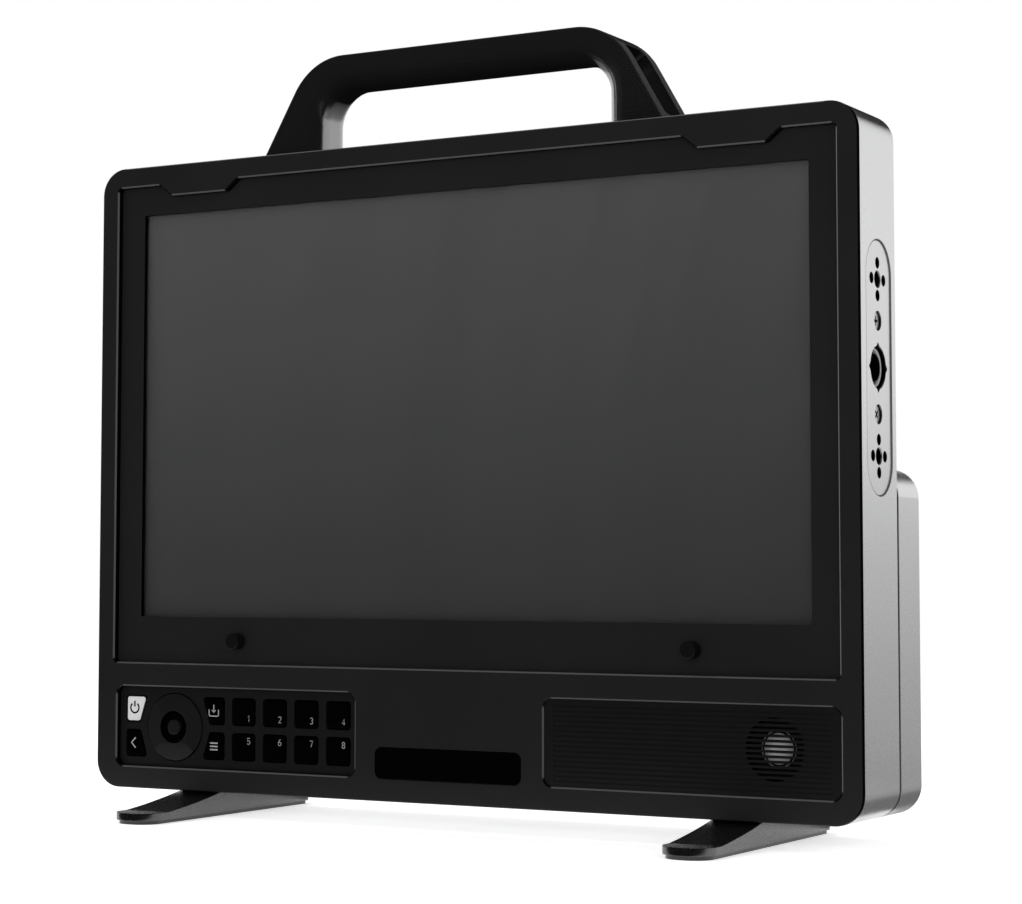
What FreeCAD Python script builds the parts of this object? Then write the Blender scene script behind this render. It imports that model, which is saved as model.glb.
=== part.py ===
import FreeCAD, Part
import math
import os
from FreeCAD import Vector

os.makedirs("parts", exist_ok=True)

# A production field monitor, in millimetres. While it is drawn, x runs to the right, d is the depth
# behind the front face and h is the height over the underside of the body.

# Screen and body outline
screen_width = 407.4
screen_height = 229.2
frame_side = 27.15
frame_top = 27.6
frame_bottom = 96.4
body_corner = 15.0
bezel_rim = 3.0
bezel_edge = 0.8
mouth_edge = 0.8
housing_wall = 3.0
housing_back = 3.0
housing_depth = 51.7
housing_round = 2.0
plug_fit = 0.2

# Recess around the screen, with its two tabs and two pegs
recess_rim = 11.3
recess_foot = 25.8
recess_depth = 4.2
recess_floor = 2.6
recess_corner = 2.5
tab_inset = 55.85
tab_root = 54.0
tab_tip = 38.0
tab_drop = 6.5
peg_inset = 65.6
peg_offset = 2.0
peg_drop = 13.1
peg_radius = 4.4
peg_reach = 7.5
peg_round = 0.8
peg_stud = 2.4
peg_fit = 0.1

# Display stack
gasket_thickness = 0.4
gasket_width = 4.5
glass_overlap = 6.0
glass_thickness = 1.6
panel_overlap = 5.0
panel_thickness = 2.2
diffuser_thickness = 0.8
guide_thickness = 3.0
light_strip_height = 3.0
light_pitch = 16.0
light_size = 4.0
tray_wall = 1.2
tray_gap = 0.3
ear_radius = 4.0
ear_reach = 5.0
ear_top_place = 110.0
ear_bottom_place = 75.0
ear_side_place = 70.0

# Openings for the keypad and the speaker
control_foot = 12.3
control_height = 44.8
control_corner = 5.0
control_fit = 0.2
control_skirt = 1.5
control_flange = 4.0
flange_thickness = 1.5

# Keypad
keypad_inset = 13.8
keypad_sink = 3.5
keypad_thickness = 2.5
keypad_margin = 4.3
key_width = 15.9
key_height = 15.5
key_pitch = 20.7
key_columns = 4
key_row_gap = 3.8
key_corner = 2.0
key_gap = 1.0
key_proud = 0.3
key_edge = 0.35
key_lip = 0.9
key_lip_thickness = 1.0
key_travel = 0.8
wing_width = 10.3
wing_slant = 5.0
wing_gap = 2.8
column_gap = 4.8
dome_radius = 3.5
dome_height = 0.4
dome_gap = 0.1
membrane_thickness = 0.8
board_thickness = 1.6

# Direction pad, its pivot ring and its centre button
pad_radius = 18.6
pad_gap = 0.6
pad_eye = 8.9
pad_rise = 1.3
pad_thickness = 2.4
pad_pivot_drop = 4.9
sleeve_wall = 1.5
sleeve_reach = 1.5
pivot_gap = 0.6
pivot_wall = 2.0
pivot_thickness = 2.4
trunnion_radius = 0.8
trunnion_reach = 1.4
trunnion_fit = 0.06
lug_width = 5.0
lug_cover = 0.8
cup_wall = 1.8
cup_floor = 1.5
cup_clearance = 2.6
centre_radius = 4.2
centre_flange = 8.1
centre_drop = 2.3
centre_flange_thickness = 1.4
centre_stem = 3.5
centre_stem_fit = 0.08
centre_boss_wall = 1.9
centre_play = 0.8
centre_edge = 0.6

# Badge plate
badge_gap = 13.2
badge_height = 16.9
badge_foot = 11.9
badge_corner = 4.0
badge_pocket = 0.6
badge_thickness = 0.8
badge_fit = 0.15
badge_edge = 0.2

# Speaker and its grille
speaker_inset = 10.9
grille_width = 162.4
grille_sink = 0.9
grille_thickness = 2.2
rib_pitch = 2.55
rib_groove = 1.2
groove_depth = 0.35
slot_depth = 1.0
rib_end_margin = 5.4
rib_side_margin = 2.0
driver_offset = 34.9
driver_window = 15.6
driver_rise = 1.0
driver_size = 39.0
driver_corner = 3.0
driver_flange = 1.5
basket_radius = 16.6
basket_wall = 1.2
basket_depth = 10.2
cone_gap = 0.4
cone_play = 1.0
cone_rim = 0.6
cone_depth = 3.2
cone_wall = 0.6
coil_radius = 6.6
coil_wall = 0.6
coil_length = 8.4
coil_gap = 0.4
cap_radius = 8.15
cap_bulge = 1.8
cap_skirt = 2.0
cap_wall = 0.5
magnet_radius = 14.0
magnet_depth = 8.0
magnet_floor = 3.0

# Side control panel, with its joystick, buttons and accessory points
side_height = 223.0
side_half = 17.5
side_reach = 46.3
side_gap = 0.5
side_flange = 2.0
side_edge = 0.3
side_sink = 0.6
well_radius = 10.75
well_depth = 6.2
well_floor = 1.2
arrow_reach = 12.6
arrow_half = 3.0
arrow_depth = 1.0
mount_place = 43.8
mount_bore = 3.97
mount_chamfer = 0.5
mount_boss = 12.0
mount_length = 14.5
pin_circle = 8.15
pin_bore = 2.87
pin_depth = 6.0
button_place = 23.15
button_radius = 4.65
button_gap = 0.3
button_sink = 1.1
button_lip = 1.35
button_lip_thickness = 1.0
button_stem = 2.0
button_travel = 0.6
button_edge = 0.3
switch_size = 6.0
switch_height = 2.8
switch_gap = 0.1
side_board_half = 10.0
side_board_margin = 2.0

# Joystick
stick_radius = 6.8
stick_thickness = 1.9
stick_sink = 1.5
stick_edge = 0.5
stick_stem = 2.0
stick_hub = 2.8
stick_hub_length = 2.6
stick_bore = 4.2
stick_pin = 0.7
stick_pin_fit = 0.06
stick_ring_gap = 0.6
stick_ring_wall = 2.0
stick_ring_thickness = 2.8
stick_socket_gap = 0.8
stick_socket_wall = 3.2
stick_socket_length = 6.0
stick_socket_play = 0.4
stick_guide_fit = 0.08
stick_guide_wall = 1.7

# Carry handle
handle_front = 7.2
handle_depth = 37.3
handle_base = 247.1
handle_rise = 53.3
handle_lean = 30.0
handle_corner = 36.0
handle_edge = 1.0
grip_width = 177.0
grip_clear = 36.1
grip_corner = 19.0
grip_round = 14.0
pocket_margin = 8.0
pocket_depth = 8.0
pocket_start = 5.0
pocket_length = 46.0
pocket_corner = 4.0
handle_screw_inset = 8.0
handle_screw_spread = 20.0

# Feet
foot_inset = 68.3
foot_width = 27.5
foot_height = 13.5
foot_front_reach = 60.0
foot_rear_reach = 14.6
foot_tip = 3.9
foot_tip_length = 17.0
foot_root = 9.0
foot_sag = 0.6
foot_tip_corner = 12.0
foot_heel_corner = 6.0
foot_heel_drop = 4.5
sole_thickness = 2.0
sole_inset = 1.6
foot_screw_first = 18.0
foot_screw_spread = 24.0
foot_boss = 6.0
foot_boss_height = 9.0
sole_hole = 5.5

# Rear box and connector plate
rear_height = 174.8
rear_depth = 32.4
rear_wall = 2.5
rear_round = 3.0
rear_lip = 1.0
post_radius = 4.5
post_inset = 14.0
io_width = 290.0
io_height = 40.0
io_foot = 25.0
io_thickness = 1.5
io_corner = 3.0
io_ledge = 5.0
io_fit = 0.2
io_screw_inset = 2.7
cable_window_width = 120.0
cable_window_height = 50.0
cable_window_foot = 60.0
cable_window_corner = 5.0

# Connectors, placed along the connector plate
connector_fit = 0.3
jack_count = 4
jack_first = -118.0
jack_pitch = 26.0
jack_body = 14.0
jack_collar = 6.2
jack_collar_reach = 2.0
jack_barrel = 4.8
jack_reach = 11.0
jack_lug = 1.0
jack_lug_reach = 0.9
jack_lug_place = 7.0
jack_mouth = 1.0
jack_core = 3.9
jack_contact = 0.9
jack_contact_depth = 6.0
video_places = (-2.0, 24.0)
video_width = 15.2
video_height = 6.2
video_wall = 0.6
video_depth = 11.0
video_tongue_width = 11.4
video_tongue = 1.4
network_place = 54.0
network_width = 16.0
network_height = 13.6
network_mouth_width = 11.9
network_mouth_height = 8.6
network_depth = 12.0
socket_proud = 0.4
inlet_place = 104.0
inlet_width = 26.0
inlet_height = 31.0
inlet_corner = 3.0
inlet_flange = 2.0
inlet_radius = 11.6
inlet_bore = 9.0
inlet_depth = 16.0
inlet_bore_depth = 13.0
inlet_pin = 1.15
inlet_pin_circle = 5.2
inlet_pin_length = 10.0

# Boards, heat sink and wall-mount plate
main_board_half = 140.0
main_board_foot = 14.0
main_board_height = 152.0
main_standoff = 3.0
standoff_radius = 3.5
standoff_inset = 6.0
power_board_width = 120.0
power_board_height = 90.0
power_board_place = 125.0
power_board_foot = 75.0
power_standoff = 6.0
choke_radius = 9.0
choke_height = 14.0
choke_pitch = 28.0
choke_count = 3
sink_width = 90.0
sink_height = 60.0
sink_foot = 100.0
sink_base = 4.0
fin_count = 12
fin_thickness = 1.6
fin_length = 15.0
vesa_pitch = 100.0
vesa_bore = 1.65
vesa_margin = 15.0
vesa_thickness = 4.0
vesa_drop = 89.2
vent_count = 12
vent_pitch = 6.0
vent_width = 3.0
vent_height = 46.0
vent_place = 150.0

# Fans
fan_size = 60.0
fan_thickness = 15.0
fan_corner = 4.0
fan_bore = 28.0
fan_place = 88.0
fan_height = 130.0
fan_hub = 14.0
fan_hub_gap = 1.2
fan_spider = 2.0
fan_arm = 4.0
fan_tip_gap = 0.9
fan_shaft = 1.5
fan_shaft_fit = 0.05
blade_count = 7
blade_thickness = 1.4
blade_pitch = 38.0
fan_peg_spread = 50.0
fan_peg = 1.9
fan_peg_fit = 0.1
fan_peg_length = 6.0
slot_height = 3.0
slot_pitch = 6.0
end_flat = 0.05

# Countersunk screws: radius of the shank, radius and height of the head, and length where it is fixed
case_screw = (1.25, 2.4, 1.3, 8.0)
body_screw = (2.5, 4.6, 2.5, 20.0)
rear_screw_sizes = (1.5, 3.0, 1.7)
rear_screw_bite = 2.0
screw_gap = 0.1
hex_share = 0.5
hex_depth = 1.0
bezel_screw_insets_top = (50.85, 180.85)
bezel_screw_insets_bottom = (25.85, 130.85)

# Room that a cutter takes beyond the face that it opens
over = 1.0

# Places worked out from the sizes
body_width = screen_width + 2 * frame_side
body_height = frame_bottom + screen_height + frame_top
half_width = body_width / 2
screen_top = frame_bottom + screen_height
recess_bottom = frame_bottom - recess_foot
recess_top = body_height - recess_rim
tab_place = half_width - recess_rim - tab_inset
peg_place = screen_width / 2 - peg_inset
bezel_back = recess_depth + recess_floor
back_inner = housing_depth - housing_back
rear_back = housing_depth + rear_depth
rear_inner = rear_back - rear_wall
rear_screw = rear_screw_sizes + (rear_depth + rear_screw_bite,)
io_inner = rear_back - io_thickness

glass_front = bezel_back + gasket_thickness
panel_front = glass_front + glass_thickness
diffuser_front = panel_front + panel_thickness
guide_front = diffuser_front + diffuser_thickness
tray_floor = guide_front + guide_thickness
tray_back = tray_floor + tray_wall
panel_half = screen_width / 2 + panel_overlap
panel_bottom = frame_bottom - panel_overlap
panel_top = screen_top + panel_overlap
tray_half = panel_half + tray_gap + tray_wall
tray_top = panel_top + tray_gap + tray_wall
light_strip_foot = panel_bottom - tray_gap - light_strip_height
tray_bottom = light_strip_foot - tray_gap - tray_wall
screen_middle = frame_bottom + screen_height / 2

control_middle = control_foot + control_height / 2
pad_window = pad_radius + pad_gap
cup_outer = pad_window + cup_wall
wing_near = cup_outer + wing_gap
wing_far = wing_near + wing_width
keypad_left = -half_width + keypad_inset
keypad_width = (2 * keypad_margin + 2 * wing_far + column_gap
                + (key_columns - 1) * key_pitch + key_width)
keypad_right = keypad_left + keypad_width
pad_x = keypad_left + keypad_margin + wing_far
keypad_back = keypad_sink + keypad_thickness
key_front = keypad_sink - key_proud
key_back = keypad_back + key_lip_thickness
dome_front = key_back + key_travel + dome_gap
control_back = max(bezel_back + flange_thickness, dome_front + dome_height)
membrane_back = control_back + membrane_thickness
pad_front = keypad_sink - key_proud
pad_top = pad_front - pad_rise
pad_back = pad_front + pad_thickness
pad_pivot = keypad_sink + pad_pivot_drop
cup_front = pad_pivot + cup_clearance
cup_back = cup_front + cup_floor
sleeve_outer = pad_eye + sleeve_wall
pivot_inner = sleeve_outer + pivot_gap
pivot_outer = pivot_inner + pivot_wall
centre_flange_front = pad_top + centre_drop
centre_flange_back = centre_flange_front + centre_flange_thickness

grille_right = half_width - speaker_inset
grille_left = grille_right - grille_width
grille_back = grille_sink + grille_thickness
badge_left = keypad_right + badge_gap
badge_right = grille_left - badge_gap
driver_x = grille_right - driver_offset
driver_height = control_middle + driver_rise
basket_front = grille_back + driver_flange
basket_back = basket_front + basket_depth
cone_outer = basket_radius - basket_wall - cone_gap
cone_front = basket_front + cone_play
cone_neck = cone_front + cone_rim + cone_depth
magnet_front = basket_back
magnet_back = magnet_front + magnet_depth

side_x = half_width
side_face = side_x - side_sink
side_wall_x = half_width - housing_wall
side_depth = (bezel_rim + housing_depth) / 2
side_back_x = side_x - well_depth - well_floor
side_board_x = side_x - mount_length
stick_socket_front = side_back_x - stick_socket_play
stick_pivot_x = stick_socket_front - stick_socket_length / 2
stick_ring_inner = stick_hub + stick_ring_gap
stick_ring_outer = stick_ring_inner + stick_ring_wall
stick_socket_inner = stick_ring_outer + stick_socket_gap
stick_socket_outer = stick_socket_inner + stick_socket_wall

handle_back = handle_front + handle_depth
handle_middle = handle_front + handle_depth / 2
handle_top = body_height + handle_rise
lean_run = math.tan(math.radians(handle_lean))
foot_place = half_width - foot_inset
foot_rear = rear_back + foot_rear_reach
foot_length = foot_front_reach + foot_rear
foot_sole = sole_thickness - foot_height

main_board_front = housing_depth + main_standoff
main_board_back = main_board_front + board_thickness
power_board_back = back_inner - power_standoff
power_board_front = power_board_back - board_thickness
fan_back = rear_inner
fan_front = fan_back - fan_thickness
connector_height = io_foot + io_height / 2
vesa_height = body_height - vesa_drop

# The part stands on its soles, with the middle of the feet over the origin
row_shift = Vector(0, foot_front_reach - foot_length / 2, foot_height)

along_x = Vector(1, 0, 0)
along_d = Vector(0, 1, 0)
along_h = Vector(0, 0, 1)
both_sides = (-1, 1)


# Shapes that the pieces are cut from

def block(x0, x1, d0, d1, h0, h1):
    return Part.makeBox(x1 - x0, d1 - d0, h1 - h0, Vector(x0, d0, h0))


def rod_x(d, h, x0, x1, radius):
    return Part.makeCylinder(radius, x1 - x0, Vector(x0, d, h), along_x)


def rod_d(x, h, d0, d1, radius):
    return Part.makeCylinder(radius, d1 - d0, Vector(x, d0, h), along_d)


def rod_h(x, d, h0, h1, radius):
    return Part.makeCylinder(radius, h1 - h0, Vector(x, d, h0), along_h)


def ring_d(x, h, d0, d1, outer, inner):
    return rod_d(x, h, d0, d1, outer).cut(rod_d(x, h, d0 - over, d1 + over, inner))


def ring_x(d, h, x0, x1, outer, inner):
    return rod_x(d, h, x0, x1, outer).cut(rod_x(d, h, x0 - over, x1 + over, inner))


def straight_edges(shape, direction):
    edges = []
    for edge in shape.Edges:
        if edge.Curve.TypeId == "Part::GeomLine" and abs(edge.Curve.Direction.dot(direction)) > 0.999:
            edges.append(edge)
    return edges


def edges_at(shape, direction, place):
    edges = []
    for edge in shape.Edges:
        if all(abs(vertex.Point.dot(direction) - place) < 0.001 for vertex in edge.Vertexes):
            edges.append(edge)
    return edges


def rounded_block(x0, x1, d0, d1, h0, h1, radius):
    shape = block(x0, x1, d0, d1, h0, h1)
    return shape.makeFillet(radius, straight_edges(shape, along_d))


def body_block(inset, d0, d1):
    corner = max(body_corner - inset, 1.0)
    return rounded_block(inset - half_width, half_width - inset, d0, d1, inset, body_height - inset, corner)


def frame(x0, x1, d0, d1, h0, h1, width):
    outer = block(x0, x1, d0, d1, h0, h1)
    return outer.cut(block(x0 + width, x1 - width, d0 - over, d1 + over, h0 + width, h1 - width))


def prism(points, d0, d1, grow=0.0, corner=0.0):
    corners = [Vector(x, d0, h) for x, h in points]
    outline = Part.makePolygon(corners + corners[:1])
    if grow:
        outline = outline.makeOffset2D(grow, 2)
    shape = Part.Face(outline).extrude(along_d * (d1 - d0))
    if corner:
        shape = shape.makeFillet(corner, straight_edges(shape, along_d))
    return shape


def join(shapes):
    return shapes[0].fuse(shapes[1:]).removeSplitter()


def screw(head, direction, size, gap=0.0):
    radius, head_radius, head_height, length = size
    neck = head + direction * head_height
    cone = Part.makeCone(head_radius + gap, radius + gap, head_height, head, direction)
    shank = Part.makeCylinder(radius + gap, length + gap - head_height, neck, direction)
    return cone.fuse(shank).removeSplitter()


def driven_screw(head, direction, size):
    shape = screw(head, direction, size)
    hex_radius = size[1] * hex_share
    across = along_h if abs(direction.dot(along_h)) < 0.5 else along_x
    third = direction.cross(across)
    corners = []
    for step in range(6):
        angle = math.radians(60 * step)
        spoke = across * math.cos(angle) + third * math.sin(angle)
        corners.append(head + spoke * hex_radius)
    socket = Part.Face(Part.makePolygon(corners + corners[:1])).extrude(direction * hex_depth)
    return shape.cut(socket)


# Screws: where each head lies and which way it points

def ear_points():
    points = []
    for side in both_sides:
        points.append((side * ear_top_place, tray_top + ear_reach))
        points.append((side * ear_bottom_place, tray_bottom - ear_reach))
        for rise in both_sides:
            points.append((side * (tray_half + ear_reach), screen_middle + rise * ear_side_place))
    return points


def bezel_screw_places():
    depth = (bezel_rim + bezel_back) / 2
    places = []
    for side in both_sides:
        for inset in bezel_screw_insets_top:
            places.append((Vector(side * (half_width - inset), depth, body_height), -along_h))
        for inset in bezel_screw_insets_bottom:
            places.append((Vector(side * (half_width - inset), depth, 0), along_h))
    return places


def tray_screw_places():
    return [(Vector(x, tray_back, h), -along_d) for x, h in ear_points()]


def io_screw_places():
    places = []
    for side in both_sides:
        for h in (io_foot + io_screw_inset, io_foot + io_height - io_screw_inset):
            places.append((Vector(side * (io_width / 2 - io_screw_inset), rear_back, h), -along_d))
    return places


def handle_screw_places():
    places = []
    for side in both_sides:
        for back in both_sides:
            x = side * (grip_width / 2 + handle_screw_inset)
            d = handle_middle + back * handle_screw_spread / 2
            places.append((Vector(x, d, body_height - housing_wall), along_h))
    return places


def foot_screw_places(side):
    depths = (foot_screw_first, foot_screw_first + foot_screw_spread)
    return [(Vector(side * foot_place, d, foot_sole), along_h) for d in depths]


def body_screw_places():
    return handle_screw_places() + foot_screw_places(-1) + foot_screw_places(1)


def rear_screw_places():
    places = []
    for side in both_sides:
        for h in (post_inset, rear_height - post_inset):
            places.append((Vector(side * (half_width - post_inset), rear_back, h), -along_d))
    return places


def screw_holes(places, size):
    return [screw(head, direction, size, screw_gap) for head, direction in places]


def screw_set(places, size):
    return [driven_screw(head, direction, size) for head, direction in places]


# Front bezel

def recess_outline():
    side = half_width - recess_rim
    points = [(-side, recess_bottom), (side, recess_bottom), (side, recess_top)]
    for middle in (tab_place, -tab_place):
        points.append((middle + tab_root / 2, recess_top))
        points.append((middle + tab_tip / 2, recess_top - tab_drop))
        points.append((middle - tab_tip / 2, recess_top - tab_drop))
        points.append((middle - tab_root / 2, recess_top))
    points.append((-side, recess_top))
    return points


def control_opening(x0, x1):
    return rounded_block(x0, x1, -over, bezel_back + over, control_foot,
                         control_foot + control_height, control_corner)


def cut_with_mouth(body, cutter):
    opened = body.cut(cutter)
    room = cutter.BoundBox
    mouth = []
    for edge in edges_at(opened, along_d, 0):
        middle = edge.CenterOfMass
        if room.XMin - 0.1 < middle.x < room.XMax + 0.1 and room.ZMin - 0.1 < middle.z < room.ZMax + 0.1:
            mouth.append(edge)
    return opened.makeChamfer(mouth_edge, mouth)


def badge_block(grow, d0, d1):
    return rounded_block(badge_left - grow, badge_right + grow, d0, d1, badge_foot - grow,
                         badge_foot + badge_height + grow, badge_corner + grow)


def front_bezel():
    rim = body_block(0, 0, bezel_rim)
    rim = rim.makeFillet(bezel_edge, edges_at(rim, along_d, 0))
    plug = body_block(housing_wall + plug_fit, bezel_rim, bezel_back)
    bosses = [rod_d(x, h, bezel_back, tray_floor, ear_radius) for x, h in ear_points()]
    bezel = join([rim, plug] + bosses)
    recess = prism(recess_outline(), -over, recess_depth, corner=recess_corner)
    keypad = control_opening(keypad_left, keypad_right)
    grille = control_opening(grille_left, grille_right)
    for cutter in (recess, keypad, grille):
        bezel = cut_with_mouth(bezel, cutter)
    screen = block(-screen_width / 2, screen_width / 2, 0, bezel_back + over, frame_bottom, screen_top)
    cuts = [screen, badge_block(badge_fit, -over, badge_pocket)]
    for side in both_sides:
        cuts.append(rod_d(peg_offset + side * peg_place, frame_bottom - peg_drop, 0, bezel_back + over,
                          peg_stud + peg_fit))
    cuts += screw_holes(bezel_screw_places(), case_screw)
    cuts += screw_holes(tray_screw_places(), case_screw)
    return bezel.cut(cuts)


def hood_pegs():
    pegs = []
    for side in both_sides:
        x = peg_offset + side * peg_place
        h = frame_bottom - peg_drop
        tip = recess_depth - peg_reach
        head = rod_d(x, h, tip, recess_depth, peg_radius)
        head = head.makeFillet(peg_round, edges_at(head, along_d, tip))
        pegs.append(head.fuse(rod_d(x, h, recess_depth, bezel_back, peg_stud)).removeSplitter())
    return pegs


def badge_plate():
    front = badge_pocket - badge_thickness
    plate = badge_block(0, front, badge_pocket)
    return plate.makeChamfer(badge_edge, edges_at(plate, along_d, front))


# Display stack

def screen_sheet(overlap, front, thickness):
    half = screen_width / 2 + overlap
    return block(-half, half, front, front + thickness, frame_bottom - overlap, screen_top + overlap)


def screen_gasket():
    half = screen_width / 2 + gasket_width
    return frame(-half, half, bezel_back, glass_front, frame_bottom - gasket_width, screen_top + gasket_width,
                 gasket_width - tray_gap)


def light_strip():
    half = screen_width / 2
    step_height = light_strip_foot + light_strip_height / 2
    carrier = block(-half, half, guide_front, tray_floor, light_strip_foot, step_height)
    count = int(screen_width // light_pitch)
    first = -(count - 1) * light_pitch / 2
    lamps = []
    for step in range(count):
        x = first + step * light_pitch
        lamps.append(block(x - light_size / 2, x + light_size / 2, guide_front, tray_floor,
                           step_height, light_strip_foot + light_strip_height))
    return join([carrier] + lamps)


def backlight_tray():
    box = block(-tray_half, tray_half, panel_front, tray_back, tray_bottom, tray_top)
    inner = tray_half - tray_wall
    low = tray_bottom + tray_wall
    high = tray_top - tray_wall
    tray = box.cut(block(-inner, inner, panel_front - over, tray_floor, low, high))
    ears = []
    for x, h in ear_points():
        ears.append(rod_d(x, h, tray_floor, tray_back, ear_radius))
        reach_x = max(-inner, min(inner, x))
        reach_h = max(low, min(high, h))
        wide_x = ear_radius if reach_x == x else 0
        wide_h = ear_radius if reach_h == h else 0
        ears.append(block(min(x, reach_x) - wide_x, max(x, reach_x) + wide_x, tray_floor, tray_back,
                          min(h, reach_h) - wide_h, max(h, reach_h) + wide_h))
    return join([tray] + ears).cut(screw_holes(tray_screw_places(), case_screw))


# Keypad

def wing_window(side, row):
    inner = control_middle + row * key_row_gap / 2
    outer = inner + row * key_height
    far = pad_x + side * wing_far
    near = pad_x + side * wing_near
    return [(far, inner), (near, inner), (near - side * wing_slant, outer), (far, outer)]


def number_window(number):
    column = (number - 1) % key_columns
    row = 1 if number <= key_columns else -1
    left = pad_x + wing_far + column_gap + column * key_pitch
    inner = control_middle + row * key_row_gap / 2
    outer = inner + row * key_height
    return [(left, inner), (left + key_width, inner), (left + key_width, outer), (left, outer)]


def key_windows():
    windows = {
        "power_key": wing_window(-1, 1),
        "back_key": wing_window(-1, -1),
        "input_key": wing_window(1, 1),
        "menu_key": wing_window(1, -1),
    }
    for number in range(1, 2 * key_columns + 1):
        windows["key_%d" % number] = number_window(number)
    return windows


def key(window):
    cap = prism(window, key_front, keypad_back, -key_gap, key_corner - key_gap / 2)
    cap = cap.makeFillet(key_edge, edges_at(cap, along_d, key_front))
    lip = prism(window, keypad_back, key_back, key_lip, key_corner)
    return cap.fuse(lip).removeSplitter()


def window_middle(window):
    return sum(x for x, h in window) / len(window), sum(h for x, h in window) / len(window)


def control_panel(x0, x1, front, thickness):
    low = control_foot + control_fit
    high = control_foot + control_height - control_fit
    left = x0 + control_fit
    right = x1 - control_fit
    corner = control_corner - control_fit
    plug = rounded_block(left, right, front, control_back, low, high, corner)
    flange = rounded_block(x0 - control_flange, x1 + control_flange, bezel_back, control_back,
                           control_foot - control_flange, control_foot + control_height + control_flange,
                           control_corner)
    hollow = rounded_block(left + control_skirt, right - control_skirt, front + thickness,
                           control_back + over, low + control_skirt, high - control_skirt,
                           corner - control_skirt)
    return join([plug, flange]).cut(hollow)


def pad_lugs():
    lugs = []
    lug_inner = pivot_outer + pivot_gap
    lug_front = pad_pivot - trunnion_radius - lug_cover
    for side in both_sides:
        near = control_middle + side * lug_inner
        far = control_middle + side * (pad_window + cup_wall / 2)
        lugs.append(block(pad_x - lug_width / 2, pad_x + lug_width / 2, lug_front, cup_back,
                          min(near, far), max(near, far)))
    return lugs


def keypad_panel():
    panel = control_panel(keypad_left, keypad_right, keypad_sink, keypad_thickness)
    cup = ring_d(pad_x, control_middle, keypad_sink + keypad_thickness / 2, cup_back, cup_outer, pad_window)
    floor = rod_d(pad_x, control_middle, cup_front, cup_back, cup_outer)
    guide = rod_d(pad_x, control_middle, pad_pivot, cup_back, centre_stem + centre_boss_wall)
    panel = join([panel, cup, floor, guide])
    panel = panel.cut(rod_d(pad_x, control_middle, keypad_sink - over, pad_pivot, pad_window))
    panel = panel.fuse(pad_lugs())
    cuts = [rod_d(pad_x, control_middle, keypad_sink, cup_back + over, centre_stem + centre_stem_fit)]
    cuts.append(rod_h(pad_x, pad_pivot, control_middle - pad_window, control_middle + pad_window,
                      trunnion_radius + trunnion_fit))
    for window in key_windows().values():
        cuts.append(prism(window, keypad_sink - over, keypad_back + over, corner=key_corner))
    return panel.cut(cuts).removeSplitter()


def back_sheet(front, back):
    grow = control_flange / 2
    sheet = rounded_block(keypad_left - grow, keypad_right + grow, front, back,
                          control_foot - grow, control_foot + control_height + grow, control_corner)
    return sheet.cut(rod_d(pad_x, control_middle, front - over, back + over, cup_outer + control_fit))


def key_membrane():
    domes = []
    for window in key_windows().values():
        x, h = window_middle(window)
        domes.append(rod_d(x, h, dome_front, control_back, dome_radius))
    return join([back_sheet(control_back, membrane_back)] + domes)


def key_board():
    return back_sheet(membrane_back, membrane_back + board_thickness)


# Direction pad

def pad_ring():
    plate = rod_d(pad_x, control_middle, pad_front, pad_back, pad_radius)
    squares = []
    for half, depth in ((pad_radius, pad_front), (pad_eye, pad_top)):
        corners = []
        for sx, sh in ((-1, -1), (1, -1), (1, 1), (-1, 1)):
            corners.append(Vector(pad_x + sx * half, depth, control_middle + sh * half))
        squares.append(Part.makePolygon(corners + corners[:1]))
    facets = Part.makeLoft(squares, True, True)
    facets = facets.common(rod_d(pad_x, control_middle, pad_top - over, pad_back, pad_radius))
    sleeve = rod_d(pad_x, control_middle, pad_back - over, pad_pivot + sleeve_reach, sleeve_outer)
    eye = rod_d(pad_x, control_middle, pad_top - over, pad_pivot + sleeve_reach + over, pad_eye)
    holes = rod_x(pad_pivot, control_middle, pad_x - pivot_inner, pad_x + pivot_inner,
                  trunnion_radius + trunnion_fit)
    return join([plate, facets, sleeve]).cut([eye, holes])


def pad_pivot_ring():
    half = pivot_thickness / 2
    ring = ring_d(pad_x, control_middle, pad_pivot - half, pad_pivot + half, pivot_outer, pivot_inner)
    middle = (pivot_inner + pivot_outer) / 2
    pins = []
    for side in both_sides:
        inward = sorted((side * (sleeve_outer - trunnion_reach), side * middle))
        outward = sorted((side * middle, side * (pivot_outer + pivot_gap + trunnion_reach)))
        pins.append(rod_x(pad_pivot, control_middle, pad_x + inward[0], pad_x + inward[1], trunnion_radius))
        pins.append(rod_h(pad_x, pad_pivot, control_middle + outward[0], control_middle + outward[1],
                          trunnion_radius))
    return join([ring] + pins)


def pad_button():
    head = rod_d(pad_x, control_middle, pad_top, centre_flange_front, centre_radius)
    head = head.makeFillet(centre_edge, edges_at(head, along_d, pad_top))
    flange = rod_d(pad_x, control_middle, centre_flange_front, centre_flange_back, centre_flange)
    stem = rod_d(pad_x, control_middle, centre_flange_back, cup_back + centre_play, centre_stem)
    return join([head, flange, stem])


# Speaker

def speaker_grille():
    panel = control_panel(grille_left, grille_right, grille_sink, grille_thickness)
    count = int((control_height - 2 * rib_side_margin) // rib_pitch)
    first = control_middle - (count - 1) * rib_pitch / 2
    window = rod_d(driver_x, driver_height, grille_sink - over, grille_back + over, driver_window)
    cuts = [rod_d(driver_x, driver_height, grille_sink + slot_depth, grille_back + over, driver_window)]
    for step in range(count):
        h = first + step * rib_pitch
        slot = block(grille_left + rib_end_margin, grille_right - rib_end_margin, grille_sink - over,
                     grille_back, h - rib_groove / 2, h + rib_groove / 2)
        groove = block(grille_left + rib_end_margin, grille_right - rib_end_margin, grille_sink - over,
                       grille_sink + groove_depth, h - rib_groove / 2, h + rib_groove / 2)
        cuts += [groove, slot.common(window)]
    return panel.cut(cuts)


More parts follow.
